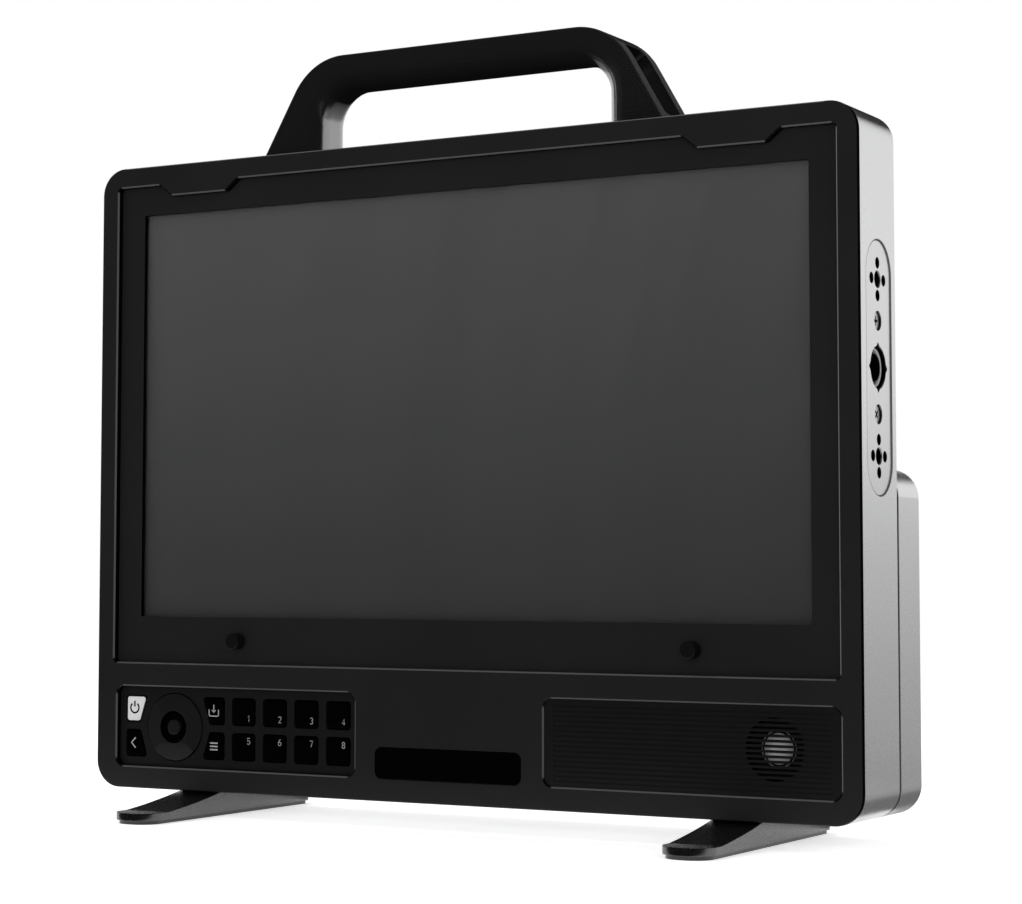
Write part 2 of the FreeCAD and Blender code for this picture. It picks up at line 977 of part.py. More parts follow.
def speaker_frame():
    half = driver_size / 2
    flange = rounded_block(driver_x - half, driver_x + half, grille_back, basket_front,
                           driver_height - half, driver_height + half, driver_corner)
    inner = basket_radius - basket_wall
    basket = rod_d(driver_x, driver_height, basket_front, basket_back, basket_radius)
    hollow = rod_d(driver_x, driver_height, grille_back - over, basket_back - basket_wall, inner)
    throat = rod_d(driver_x, driver_height, basket_front, basket_back + over, coil_radius + coil_gap)
    return join([flange, basket]).cut([hollow, throat])


def speaker_cone():
    rim_back = cone_front + cone_rim
    throat = cone_outer - 2 * cone_wall
    rim = ring_d(driver_x, driver_height, cone_front, rim_back, cone_outer, throat)
    mouth = Vector(driver_x, rim_back, driver_height)
    outside = Part.makeCone(throat + cone_wall, coil_radius, cone_depth, mouth, along_d)
    inside = Part.makeCone(throat, coil_radius - cone_wall, cone_depth, mouth, along_d)
    coil = ring_d(driver_x, driver_height, cone_neck - cone_wall, cone_neck + coil_length, coil_radius,
                  coil_radius - coil_wall)
    return join([rim, outside.cut(inside), coil])


def speaker_dust_cap():
    ball = (cap_radius ** 2 + cap_bulge ** 2) / (2 * cap_bulge)
    throat = cone_outer - 2 * cone_wall
    slope = cone_depth / (throat - coil_radius + cone_wall)
    seat = cone_front + cone_rim + (throat - cap_radius) * slope
    crown = seat - cap_skirt
    middle = Vector(driver_x, crown - cap_bulge + ball, driver_height)
    dome = Part.makeSphere(ball, middle).cut(Part.makeSphere(ball - cap_wall, middle))
    dome = dome.common(rod_d(driver_x, driver_height, crown - cap_bulge - over, crown, cap_radius))
    return join([dome, ring_d(driver_x, driver_height, crown, seat, cap_radius, cap_radius - cap_wall)])


def speaker_magnet():
    block_round = rod_d(driver_x, driver_height, magnet_front, magnet_back, magnet_radius)
    groove = ring_d(driver_x, driver_height, magnet_front - over, magnet_back - magnet_floor,
                    coil_radius + coil_gap, coil_radius - coil_wall - coil_gap)
    return block_round.cut(groove)


# Housing

def pill(x0, x1, half, reach):
    straight = block(x0, x1, side_depth - half, side_depth + half, side_height - reach, side_height + reach)
    ends = [rod_x(side_depth, side_height + side * reach, x0, x1, half) for side in both_sides]
    return join([straight] + ends)


def board_corners(x0, x1, h0, h1):
    return [(x, h) for x in (x0 + standoff_inset, x1 - standoff_inset)
            for h in (h0 + standoff_inset, h1 - standoff_inset)]


def main_board_corners():
    return board_corners(-main_board_half, main_board_half, main_board_foot,
                         main_board_foot + main_board_height)


def power_board_corners():
    half = power_board_width / 2
    return board_corners(-power_board_place - half, -power_board_place + half, power_board_foot,
                         power_board_foot + power_board_height)


def vesa_holes():
    holes = []
    for sx in both_sides:
        for sh in both_sides:
            holes.append(rod_d(sx * vesa_pitch / 2, vesa_height + sh * vesa_pitch / 2,
                               back_inner - vesa_thickness - over, housing_depth + over, vesa_bore))
    return holes


def back_vents():
    slots = []
    for side in both_sides:
        for step in range(vent_count):
            x = side * (vent_place + (step - (vent_count - 1) / 2) * vent_pitch)
            slots.append(rounded_block(x - vent_width / 2, x + vent_width / 2, back_inner - over,
                                       housing_depth + over, vesa_height - vent_height / 2,
                                       vesa_height + vent_height / 2, vent_width / 2 - end_flat))
    return slots


def main_housing():
    shell = body_block(0, bezel_rim, housing_depth)
    shell = shell.makeFillet(housing_round, edges_at(shell, along_d, housing_depth))
    shell = shell.cut(body_block(housing_wall, bezel_rim - over, back_inner))
    added = [rod_d(x, h, housing_depth - housing_back / 2, main_board_front, standoff_radius)
             for x, h in main_board_corners()]
    added += [rod_d(x, h, power_board_back, back_inner + housing_back / 2, standoff_radius)
              for x, h in power_board_corners()]
    for head, direction in foot_screw_places(-1) + foot_screw_places(1):
        added.append(rod_h(head.x, head.y, housing_wall / 2, housing_wall + foot_boss_height, foot_boss))
    cuts = [pill(side_wall_x - over, side_x + over, side_half, side_reach)]
    window_half = cable_window_width / 2
    cuts.append(rounded_block(-window_half, window_half, back_inner - over, housing_depth + over,
                              cable_window_foot, cable_window_foot + cable_window_height,
                              cable_window_corner))
    cuts += screw_holes(bezel_screw_places(), case_screw) + screw_holes(body_screw_places(), body_screw)
    cuts += screw_holes(rear_screw_places(), rear_screw)
    cuts += vesa_holes() + back_vents()
    return join([shell] + added).cut(cuts)


def vesa_plate():
    half = vesa_pitch / 2 + vesa_margin
    plate = block(-half, half, back_inner - vesa_thickness, back_inner,
                  vesa_height - half, vesa_height + half)
    return plate.cut(vesa_holes())


def power_board():
    left = -power_board_place - power_board_width / 2
    board = block(left, left + power_board_width, power_board_front, power_board_back,
                  power_board_foot, power_board_foot + power_board_height)
    middle = power_board_foot + power_board_height / 2
    chokes = []
    for step in range(choke_count):
        x = -power_board_place + (step - (choke_count - 1) / 2) * choke_pitch
        chokes.append(rod_d(x, middle, power_board_front - choke_height, power_board_front, choke_radius))
    return join([board] + chokes)


# Rear box

def fan_slots(x):
    reach = fan_bore - slot_height
    count = int(2 * reach // slot_pitch)
    slots = []
    for step in range(count):
        rise = (step - (count - 1) / 2) * slot_pitch
        half = math.sqrt(reach ** 2 - rise ** 2)
        h = fan_height + rise
        slots.append(rounded_block(x - half, x + half, rear_inner - over, rear_back + over,
                                   h - slot_height / 2, h + slot_height / 2, slot_height / 2 - end_flat))
    return slots


def fan_peg_points(x):
    half = fan_peg_spread / 2
    return [(x + sx * half, fan_height + sh * half) for sx in both_sides for sh in both_sides]


def io_block(grow, d0, d1):
    half = io_width / 2 + grow
    return rounded_block(-half, half, d0, d1, io_foot - grow, io_foot + io_height + grow, io_corner)


def rear_shell(inset, d0, d1):
    corner = max(body_corner - inset, 1.0)
    return rounded_block(inset - half_width, half_width - inset, d0, d1, inset, rear_height - inset, corner)


def rear_box():
    box = rear_shell(0, housing_depth, rear_back)
    box = box.makeFillet(rear_round, edges_at(box, along_d, rear_back))
    box = box.makeFillet(rear_lip, edges_at(box, along_d, housing_depth))
    box = box.cut(rear_shell(rear_wall, housing_depth - over, rear_inner))
    added = []
    for head, direction in rear_screw_places():
        added.append(rod_d(head.x, head.z, housing_depth, rear_inner + rear_wall / 2, post_radius))
    for side in both_sides:
        for x, h in fan_peg_points(side * fan_place):
            added.append(rod_d(x, h, rear_inner - fan_peg_length, rear_inner + rear_wall / 2, fan_peg))
    cuts = [io_block(io_fit, io_inner, rear_back + over)]
    cuts.append(io_block(-io_ledge, rear_inner - over, rear_back + over))
    cuts += screw_holes(rear_screw_places(), rear_screw) + screw_holes(io_screw_places(), case_screw)
    cuts += fan_slots(-fan_place) + fan_slots(fan_place)
    return join([box] + added).cut(cuts)


def jack_places():
    return [jack_first + step * jack_pitch for step in range(jack_count)]


def centred_block(x, width, height, d0, d1, grow=0.0):
    return block(x - width / 2 - grow, x + width / 2 + grow, d0, d1,
                 connector_height - height / 2 - grow, connector_height + height / 2 + grow)


def io_plate():
    plate = io_block(0, io_inner, rear_back)
    front = io_inner - over
    back = rear_back + over
    cuts = screw_holes(io_screw_places(), case_screw)
    cuts += [rod_d(x, connector_height, front, back, jack_collar + connector_fit) for x in jack_places()]
    cuts += [centred_block(x, video_width, video_height, front, back, connector_fit) for x in video_places]
    cuts.append(centred_block(network_place, network_width, network_height, front, back, connector_fit))
    cuts.append(rod_d(inlet_place, connector_height, front, back, inlet_radius + connector_fit))
    return plate.cut(cuts)


def coax_jack(x):
    tip = rear_back + jack_reach
    body = centred_block(x, jack_body, jack_body, main_board_back, io_inner - connector_fit)
    collar = rod_d(x, connector_height, io_inner - 2 * connector_fit, rear_back + jack_collar_reach,
                   jack_collar)
    barrel = rod_d(x, connector_height, rear_back, tip, jack_barrel)
    reach = jack_barrel + jack_lug_reach
    lugs = rod_h(x, rear_back + jack_lug_place, connector_height - reach, connector_height + reach, jack_lug)
    mouth = rod_d(x, connector_height, tip - jack_mouth, tip + over, jack_core)
    contact = rod_d(x, connector_height, tip - jack_contact_depth, tip + over, jack_contact)
    return join([body, collar, barrel, lugs]).cut([mouth, contact])


def video_socket(x):
    back = rear_back + socket_proud
    shell = centred_block(x, video_width, video_height, main_board_back, back)
    mouth = centred_block(x, video_width, video_height, back - video_depth, back + over, -video_wall)
    tongue = centred_block(x, video_tongue_width, video_tongue, back - video_depth - video_wall,
                           back - video_wall)
    return shell.cut(mouth).fuse(tongue).removeSplitter()


def network_socket():
    back = rear_back + socket_proud
    shell = centred_block(network_place, network_width, network_height, main_board_back, back)
    mouth = centred_block(network_place, network_mouth_width, network_mouth_height,
                          back - network_depth, back + over)
    return shell.cut(mouth)


def power_inlet():
    half_x = inlet_width / 2
    half_h = inlet_height / 2
    back = rear_back + inlet_flange
    flange = rounded_block(inlet_place - half_x, inlet_place + half_x, rear_back, back,
                           connector_height - half_h, connector_height + half_h, inlet_corner)
    barrel = rod_d(inlet_place, connector_height, back - inlet_depth, rear_back, inlet_radius)
    bore_floor = back - inlet_bore_depth
    bore = rod_d(inlet_place, connector_height, bore_floor, back + over, inlet_bore)
    pins = []
    for step in range(4):
        angle = math.radians(45 + 90 * step)
        x = inlet_place + inlet_pin_circle * math.cos(angle)
        h = connector_height + inlet_pin_circle * math.sin(angle)
        pins.append(rod_d(x, h, bore_floor - over, bore_floor + inlet_pin_length, inlet_pin))
    return join([join([flange, barrel]).cut(bore)] + pins)


def main_board():
    return block(-main_board_half, main_board_half, main_board_front, main_board_back,
                 main_board_foot, main_board_foot + main_board_height)


def heat_sink():
    half = sink_width / 2
    top = sink_foot + sink_height
    shapes = [block(-half, half, main_board_back, main_board_back + sink_base, sink_foot, top)]
    pitch = (sink_width - fin_thickness) / (fin_count - 1)
    for step in range(fin_count):
        left = -half + step * pitch
        shapes.append(block(left, left + fin_thickness, main_board_back + sink_base,
                            main_board_back + sink_base + fin_length, sink_foot, top))
    return join(shapes)


# Fans

def fan_frame(x):
    half = fan_size / 2
    casing = rounded_block(x - half, x + half, fan_front, fan_back, fan_height - half, fan_height + half,
                           fan_corner)
    casing = casing.cut(rod_d(x, fan_height, fan_front - over, fan_back + over, fan_bore))
    spider = [rod_d(x, fan_height, fan_front, fan_front + fan_spider, fan_hub)]
    spider.append(block(x - fan_bore - over, x + fan_bore + over, fan_front, fan_front + fan_spider,
                        fan_height - fan_arm / 2, fan_height + fan_arm / 2))
    spider.append(block(x - fan_arm / 2, x + fan_arm / 2, fan_front, fan_front + fan_spider,
                        fan_height - fan_bore - over, fan_height + fan_bore + over))
    cuts = [rod_d(x, fan_height, fan_front - over, fan_front + fan_spider + over, fan_shaft + fan_shaft_fit)]
    for px, ph in fan_peg_points(x):
        cuts.append(rod_d(px, ph, fan_front - over, fan_back + over, fan_peg + fan_peg_fit))
    return join([casing] + spider).cut(cuts)


def fan_rotor(x):
    hub_front = fan_front + fan_spider + fan_hub_gap
    hub_back = fan_back - fan_hub_gap
    hub_length = hub_back - hub_front
    hub = rod_d(x, fan_height, hub_front, hub_back, fan_hub)
    shaft = rod_d(x, fan_height, fan_front, hub_front, fan_shaft)
    centre = Vector(x, (hub_front + hub_back) / 2, fan_height)
    tip = fan_bore - fan_tip_gap
    room = rod_d(x, fan_height, hub_front, hub_back, tip)
    blades = []
    for step in range(blade_count):
        blade = Part.makeBox(blade_thickness, 2 * hub_length, tip + over,
                             Vector(x - blade_thickness / 2, centre.y - hub_length, fan_height))
        blade.rotate(centre, along_h, blade_pitch)
        blade.rotate(centre, along_d, step * 360 / blade_count)
        blades.append(blade.common(room))
    return join([hub, shaft] + blades)


# Side control panel

def arrow_cut(step):
    tip = Vector(0, arrow_reach, 0)
    sides = [Vector(0, well_radius - over, -arrow_half), Vector(0, well_radius - over, arrow_half)]
    face = Part.Face(Part.makePolygon([tip] + sides + [tip]))
    shape = face.extrude(along_x * (arrow_depth + over))
    shape.rotate(Vector(0, 0, 0), along_x, 90 * step)
    shape.translate(Vector(side_face - arrow_depth, side_depth, side_height))
    return shape


def accessory_cuts(h):
    cuts = [rod_x(side_depth, h, side_board_x - over, side_x + over, mount_bore)]
    cuts.append(Part.makeCone(mount_bore, mount_bore + mount_chamfer, mount_chamfer,
                              Vector(side_face - mount_chamfer, side_depth, h), along_x))
    for step in range(4):
        angle = math.radians(90 * step)
        cuts.append(rod_x(side_depth + pin_circle * math.cos(angle), h + pin_circle * math.sin(angle),
                          side_x - pin_depth, side_x + over, pin_bore))
    return cuts


def side_panel():
    plug = pill(side_wall_x, side_face, side_half - side_gap, side_reach)
    plug = plug.makeChamfer(side_edge, edges_at(plug, along_x, side_face))
    flange = pill(side_back_x, side_wall_x, side_half + side_flange, side_reach)
    guide_inner = stick_socket_outer + stick_guide_fit
    guide = ring_x(side_depth, side_height, stick_socket_front - stick_socket_length,
                   side_back_x + well_floor / 2, guide_inner + stick_guide_wall, guide_inner)
    bosses = []
    cuts = [rod_x(side_depth, side_height, side_x - well_depth, side_x + over, well_radius)]
    cuts.append(rod_x(side_depth, side_height, side_back_x - over, side_x, stick_bore))
    cuts += [arrow_cut(step) for step in range(4)]
    for side in both_sides:
        h = side_height + side * mount_place
        bosses.append(rod_x(side_depth, h, side_board_x, side_back_x, mount_boss))
        cuts += accessory_cuts(h)
        cuts.append(rod_x(side_depth, side_height + side * button_place, side_back_x - over, side_x + over,
                          button_radius + button_gap))
    return join([plug, flange] + bosses).cut(cuts).fuse(guide).removeSplitter()


def side_button(side):
    h = side_height + side * button_place
    face = side_face - button_sink
    lip_back = side_back_x - button_lip_thickness
    cap = rod_x(side_depth, h, side_back_x, face, button_radius)
    cap = cap.makeFillet(button_edge, edges_at(cap, along_x, face))
    lip = rod_x(side_depth, h, lip_back, side_back_x, button_radius + button_lip)
    stem_end = side_board_x + switch_height + button_travel + switch_gap
    stem = rod_x(side_depth, h, stem_end, lip_back, button_stem)
    return join([cap, lip, stem])


def side_board():
    reach = mount_place + mount_boss + side_board_margin
    board = block(side_board_x - board_thickness, side_board_x, side_depth - side_board_half,
                  side_depth + side_board_half, side_height - reach, side_height + reach)
    switches = []
    cuts = []
    half = switch_size / 2
    for side in both_sides:
        h = side_height + side * button_place
        switches.append(block(side_board_x, side_board_x + switch_height, side_depth - half,
                              side_depth + half, h - half, h + half))
        cuts.append(rod_x(side_depth, side_height + side * mount_place, side_board_x - 2 * board_thickness,
                          side_board_x + over, mount_bore + over))
    return join([board] + switches).cut(cuts)


def joystick_socket():
    socket = ring_x(side_depth, side_height, stick_socket_front - stick_socket_length, stick_socket_front,
                    stick_socket_outer, stick_socket_inner)
    hole = Part.makeCylinder(stick_pin + stick_pin_fit, 2 * stick_socket_outer,
                             Vector(stick_pivot_x, side_depth - stick_socket_outer, side_height), along_d)
    return socket.cut(hole)


def joystick_ring():
    half = stick_ring_thickness / 2
    ring = ring_x(side_depth, side_height, stick_pivot_x - half, stick_pivot_x + half,
                  stick_ring_outer, stick_ring_inner)
    ring = ring.cut(rod_h(stick_pivot_x, side_depth, side_height - stick_ring_outer,
                          side_height + stick_ring_outer, stick_pin + stick_pin_fit))
    middle = (stick_ring_inner + stick_ring_outer) / 2
    reach = stick_socket_inner + stick_socket_wall / 2
    pins = []
    for low, high in ((-reach, -middle), (middle, reach)):
        start = Vector(stick_pivot_x, side_depth + low, side_height)
        pins.append(Part.makeCylinder(stick_pin, high - low, start, along_d))
    return join([ring] + pins)


def joystick_cap():
    top = side_face - stick_sink
    under = top - stick_thickness
    cap = rod_x(side_depth, side_height, under, top, stick_radius)
    cap = cap.makeFillet(stick_edge, edges_at(cap, along_x, top))
    hub_half = stick_hub_length / 2
    hub = rod_x(side_depth, side_height, stick_pivot_x - hub_half, stick_pivot_x + hub_half, stick_hub)
    stem = rod_x(side_depth, side_height, stick_pivot_x, under, stick_stem)
    reach = stick_ring_outer - stick_pin_fit
    pin = rod_h(stick_pivot_x, side_depth, side_height - reach, side_height + reach, stick_pin)
    return join([cap, hub, stem, pin])


# Carry handle

def end_pocket():
    width = handle_depth - 2 * pocket_margin
    pocket = Part.makeBox(pocket_depth + 2 * over, width, pocket_length,
                          Vector(-pocket_depth, handle_front + pocket_margin, pocket_start))
    pocket = pocket.makeFillet(pocket_corner, straight_edges(pocket, along_x))
    pocket.rotate(Vector(0, 0, 0), along_d, -handle_lean)
    pocket.translate(Vector(handle_base / 2, 0, body_height))
    return pocket


def carry_handle():
    foot = handle_base / 2
    shoulder = foot - handle_rise * lean_run
    outline = [(-foot, body_height), (foot, body_height), (shoulder, handle_top), (-shoulder, handle_top)]
    body = prism(outline, handle_front, handle_back)
    top_corners = [edge for edge in straight_edges(body, along_d) if edge.CenterOfMass.z > handle_top - over]
    body = body.makeFillet(handle_corner, top_corners)
    outer_rim = [edge for edge in edges_at(body, along_d, handle_front) + edges_at(body, along_d, handle_back)
                 if edge.CenterOfMass.z > body_height + over]
    body = body.makeFillet(handle_edge, outer_rim)
    half = grip_width / 2
    grip_top = body_height + grip_clear
    gap = block(-half, half, handle_front - over, handle_back + over, body_height - over, grip_top)
    gap_corners = [edge for edge in straight_edges(gap, along_d) if edge.CenterOfMass.z > body_height]
    body = body.cut(gap.makeFillet(grip_corner, gap_corners))
    inner_rim = []
    for edge in edges_at(body, along_d, handle_front) + edges_at(body, along_d, handle_back):
        middle = edge.CenterOfMass
        if abs(middle.x) < half + 0.01 and body_height + over < middle.z < grip_top + 0.01:
            inner_rim.append(edge)
    body = body.makeFillet(grip_round, inner_rim)
    pocket = end_pocket()
    cuts = [pocket, pocket.mirror(Vector(0, 0, 0), along_x)] + screw_holes(handle_screw_places(), body_screw)
    return body.cut(cuts)


# Feet

def foot(side):
    left = side * foot_place - foot_width / 2
    tip_top = foot_sole + foot_tip
    tip_end = foot_tip_length - foot_front_reach
    middle_d = (tip_end + foot_root) / 2
    corners = [(-foot_front_reach, tip_top), (-foot_front_reach, foot_sole), (foot_rear, foot_sole),
               (foot_rear, -foot_heel_drop), (rear_back, 0), (foot_root, 0)]
    points = [Vector(left, d, h) for d, h in corners]
    edges = [Part.LineSegment(a, b).toShape() for a, b in zip(points, points[1:])]
    sag_point = Vector(left, middle_d, tip_top / 2 - foot_sag)
    flat_end = Vector(left, tip_end, tip_top)
    edges.append(Part.Arc(points[-1], sag_point, flat_end).toShape())
    edges.append(Part.LineSegment(flat_end, points[0]).toShape())
    shape = Part.Face(Part.Wire(edges)).extrude(along_x * foot_width)
    uprights = straight_edges(shape, along_h)
    shape = shape.makeFillet(foot_tip_corner, [edge for edge in uprights if edge.CenterOfMass.y < 0])
    heel = [edge for edge in straight_edges(shape, along_h) if edge.CenterOfMass.y > rear_back]
    shape = shape.makeFillet(foot_heel_corner, heel)
    return shape.cut(screw_holes(foot_screw_places(side), body_screw))


def foot_pad(side):
    left = side * foot_place - foot_width / 2 + sole_inset
    front = sole_inset - foot_front_reach
    right = left + foot_width - 2 * sole_inset
    pad = block(left, right, front, foot_rear - sole_inset, -foot_height, foot_sole)
    uprights = straight_edges(pad, along_h)
    pad = pad.makeFillet(foot_tip_corner - sole_inset, [edge for edge in uprights if edge.CenterOfMass.y < 0])
    heel = [edge for edge in straight_edges(pad, along_h) if edge.CenterOfMass.y > rear_back]
    pad = pad.makeFillet(foot_heel_corner - sole_inset, heel)
    holes = [rod_h(head.x, head.y, -foot_height - over, foot_sole + over, sole_hole)
             for head, direction in foot_screw_places(side)]
    return pad.cut(holes)


def save(name, solids):
    placed = [solid.translated(row_shift) for solid in solids]
    shape = placed[0] if len(placed) == 1 else Part.makeCompound(placed)
    shape.exportStep("parts/%s.step" % name)


pieces = {
    "front_bezel": [front_bezel()],
    "hood_pegs": hood_pegs(),
    "badge_plate": [badge_plate()],
    "screen_gasket": [screen_gasket()],
    "cover_glass": [screen_sheet(glass_overlap, glass_front, glass_thickness)],
    "display_panel": [screen_sheet(panel_overlap, panel_front, panel_thickness)],
    "diffuser_sheet": [screen_sheet(panel_overlap, diffuser_front, diffuser_thickness)],
    "light_guide": [screen_sheet(panel_overlap, guide_front, guide_thickness)],
    "light_strip": [light_strip()],
    "backlight_tray": [backlight_tray()],
    "keypad_panel": [keypad_panel()],
    "key_membrane": [key_membrane()],
    "key_board": [key_board()],
    "pad_ring": [pad_ring()],
    "pad_pivot_ring": [pad_pivot_ring()],
    "pad_button": [pad_button()],
    "speaker_grille": [speaker_grille()],
    "speaker_frame": [speaker_frame()],
    "speaker_cone": [speaker_cone()],
    "speaker_dust_cap": [speaker_dust_cap()],
    "speaker_magnet": [speaker_magnet()],
    "main_housing": [main_housing()],
    "vesa_plate": [vesa_plate()],
    "power_board": [power_board()],
    "rear_box": [rear_box()],
    "io_plate": [io_plate()],
    "coax_jacks": [coax_jack(x) for x in jack_places()],
    "data_sockets": [video_socket(x) for x in video_places] + [network_socket()],
    "power_inlet": [power_inlet()],
    "main_board": [main_board()],
    "heat_sink": [heat_sink()],
    "fan_frames": [fan_frame(side * fan_place) for side in both_sides],
    "fan_rotor_left": [fan_rotor(-fan_place)],
    "fan_rotor_right": [fan_rotor(fan_place)],
    "side_panel": [side_panel()],
    "side_board": [side_board()],
    "plus_button": [side_button(1)],
    "times_button": [side_button(-1)],
    "joystick_socket": [joystick_socket()],
    "joystick_ring": [joystick_ring()],
    "joystick_cap": [joystick_cap()],
    "carry_handle": [carry_handle()],
    "foot_left": [foot(-1)],
    "foot_right": [foot(1)],
    "foot_pads": [foot_pad(side) for side in both_sides],
    "case_screws": screw_set(bezel_screw_places() + tray_screw_places() + io_screw_places(), case_screw),
    "body_screws": screw_set(body_screw_places(), body_screw),
    "rear_screws": screw_set(rear_screw_places(), rear_screw),
}
for key_name, key_window in key_windows().items():
    pieces[key_name] = [key(key_window)]

for piece_name, piece_solids in pieces.items():
    save(piece_name, piece_solids)
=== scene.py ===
import math

import bpy
import bmesh
from mathutils import Matrix, Vector


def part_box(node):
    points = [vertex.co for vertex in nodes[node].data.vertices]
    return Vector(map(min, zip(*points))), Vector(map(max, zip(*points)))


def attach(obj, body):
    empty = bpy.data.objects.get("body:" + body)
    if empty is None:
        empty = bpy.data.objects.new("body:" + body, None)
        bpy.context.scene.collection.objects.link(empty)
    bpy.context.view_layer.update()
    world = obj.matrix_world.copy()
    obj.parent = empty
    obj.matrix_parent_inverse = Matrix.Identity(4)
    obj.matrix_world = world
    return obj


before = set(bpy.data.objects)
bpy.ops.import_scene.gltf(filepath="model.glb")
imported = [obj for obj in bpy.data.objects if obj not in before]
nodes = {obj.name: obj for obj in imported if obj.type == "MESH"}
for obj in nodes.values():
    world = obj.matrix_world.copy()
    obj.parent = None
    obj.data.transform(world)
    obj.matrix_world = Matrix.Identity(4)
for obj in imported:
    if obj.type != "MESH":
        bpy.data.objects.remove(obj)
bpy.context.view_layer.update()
scene = bpy.context.scene
mm = 0.001
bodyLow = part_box("front_bezel")[0]
frontY = bodyLow.y  # the body's front face
soleZ = bodyLow.z  # the body's underside, over the floor
print("monitor frame loaded,", len(nodes), "nodes")


def bodyPoint(x, depth, height):  # from the foot of the body's front face
    return Vector((x * mm, frontY + depth * mm, soleZ + height * mm))


def middleOf(nodeName):
    low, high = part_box(nodeName)
    return (low + high) / 2


def axisThrough(nodeName):  # a node's middle as the front shows it
    middle = middleOf(nodeName)
    return Vector((middle.x, 0, middle.z))


def rowOffsets(count, pitch):  # an even row about its own middle
    return [(i - (count - 1) / 2) * pitch for i in range(count)]


# shader building blocks, all in the object's own metres

def startFinish(name):
    mat = bpy.data.materials.new(name)
    mat.use_nodes = True
    tree = mat.node_tree
    tree.nodes.clear()
    out = tree.nodes.new("ShaderNodeOutputMaterial")
    skin = tree.nodes.new("ShaderNodeBsdfPrincipled")
    tree.links.new(skin.outputs["BSDF"], out.inputs["Surface"])
    place = tree.nodes.new("ShaderNodeTexCoord").outputs["Object"]
    return mat, tree, skin, place


def stretchPlace(tree, place, scale):
    mapping = tree.nodes.new("ShaderNodeMapping")
    mapping.inputs["Scale"].default_value = scale
    tree.links.new(place, mapping.inputs["Vector"])
    return mapping.outputs["Vector"]


def speckle(tree, place, scale, detail=2.0):
    noise = tree.nodes.new("ShaderNodeTexNoise")
    noise.inputs["Scale"].default_value = scale
    noise.inputs["Detail"].default_value = detail
    tree.links.new(place, noise.inputs["Vector"])
    return noise.outputs["Fac"]


def spread(tree, value, low, high, fromLow=0.3, fromHigh=0.7):
    span = tree.nodes.new("ShaderNodeMapRange")
    span.inputs["From Min"].default_value = fromLow
    span.inputs["From Max"].default_value = fromHigh
    span.inputs["To Min"].default_value = low
    span.inputs["To Max"].default_value = high
    tree.links.new(value, span.inputs["Value"])
    return span.outputs["Result"]


def mixColour(tree, factor, first, second):
    mix = tree.nodes.new("ShaderNodeMix")
    mix.data_type = "RGBA"
    tree.links.new(factor, mix.inputs["Factor"])
    for socket, colour in ((mix.inputs[6], first), (mix.inputs[7], second)):
        if isinstance(colour, tuple):
            socket.default_value = (*colour, 1.0)
        else:
            tree.links.new(colour, socket)
    return mix.outputs[2]


def shade(colour, share):
    return tuple(min(1.0, c * share) for c in colour)


def roundEdges(tree, radius):
    bevel = tree.nodes.new("ShaderNodeBevel")
    bevel.samples = 4
    bevel.inputs["Radius"].default_value = radius
    return bevel.outputs["Normal"]


def relief(tree, height, depth, under=None):
    bump = tree.nodes.new("ShaderNodeBump")
    bump.inputs["Strength"].default_value = 1.0
    bump.inputs["Distance"].default_value = depth
    tree.links.new(height, bump.inputs["Height"])
    if under is not None:
        tree.links.new(under, bump.inputs["Normal"])
    return bump.outputs["Normal"]


def compute(tree, operation, *values):
    step = tree.nodes.new("ShaderNodeMath")
    step.operation = operation
    for socket, value in zip(step.inputs, values):
        if isinstance(value, float):
            socket.default_value = value
        else:
            tree.links.new(value, socket)
    return step.outputs["Value"]


def axesOf(tree, vector):
    along = tree.nodes.new("ShaderNodeSeparateXYZ")
    tree.links.new(vector, along.inputs["Vector"])
    return along.outputs


openings = {  # on the bezel's front, in metres: where highlights and shade are painted round the openings and along the top edge
    "halfWidth": 0.2275, "middle": soleZ + 0.1745, "halfHeight": 0.171,
    "crestFrom": soleZ + 0.346, "crestHalf": 0.214,
}


def paintedLightMasks(tree, place):  # masks of painted light: highlights painted on the openings' bevels and along the bezel's top edge, shade painted on the openings' walls, the bevels' corners and the bezel's flanks
    facing = axesOf(tree, tree.nodes.new("ShaderNodeNewGeometry").outputs["True Normal"])
    spot = axesOf(tree, place)
    across = compute(tree, "COMPARE", spot["X"], 0.0, openings["halfWidth"])
    upward = compute(tree, "COMPARE", spot["Z"], openings["middle"], openings["halfHeight"])
    within = compute(tree, "MULTIPLY", across, upward)
    bevel = compute(tree, "MULTIPLY", compute(tree, "COMPARE", facing["Y"], -0.707, 0.1), within)
    corner = compute(tree, "ABSOLUTE", compute(tree, "MULTIPLY", facing["X"], facing["Z"]))
    level = spread(tree, facing["X"], 1.0, 0.5, -0.6, -0.3)  # painted highlight brighter where the bevel faces left
    # painted highlight on the bevels away from their corners
    bevelHighlight = compute(tree, "MULTIPLY", bevel, spread(tree, corner, 1.0, 0.0, 0.02, 0.12))
    bevelHighlight = compute(tree, "MULTIPLY", level, bevelHighlight)
    # painted shade on the openings' walls
    wall = compute(tree, "MULTIPLY", compute(tree, "COMPARE", facing["Y"], 0.0, 0.3), within)
    # painted shade on the bezel's flanks, which also lose their gloss
    flank = spread(tree, compute(tree, "ABSOLUTE", facing["X"]), 0.0, 1.0, 0.4, 0.8)
    # painted highlight along the bezel's top edge
    above = compute(tree, "GREATER_THAN", spot["Z"], openings["crestFrom"])
    crestHighlight = compute(tree, "MULTIPLY", above, compute(tree, "COMPARE", facing["Z"], 0.6, 0.36))
    crestHighlight = compute(tree, "MULTIPLY", crestHighlight, compute(tree, "COMPARE", spot["X"], 0.0, openings["crestHalf"]))
    return bevelHighlight, compute(tree, "MAXIMUM", bevel, wall), flank, crestHighlight


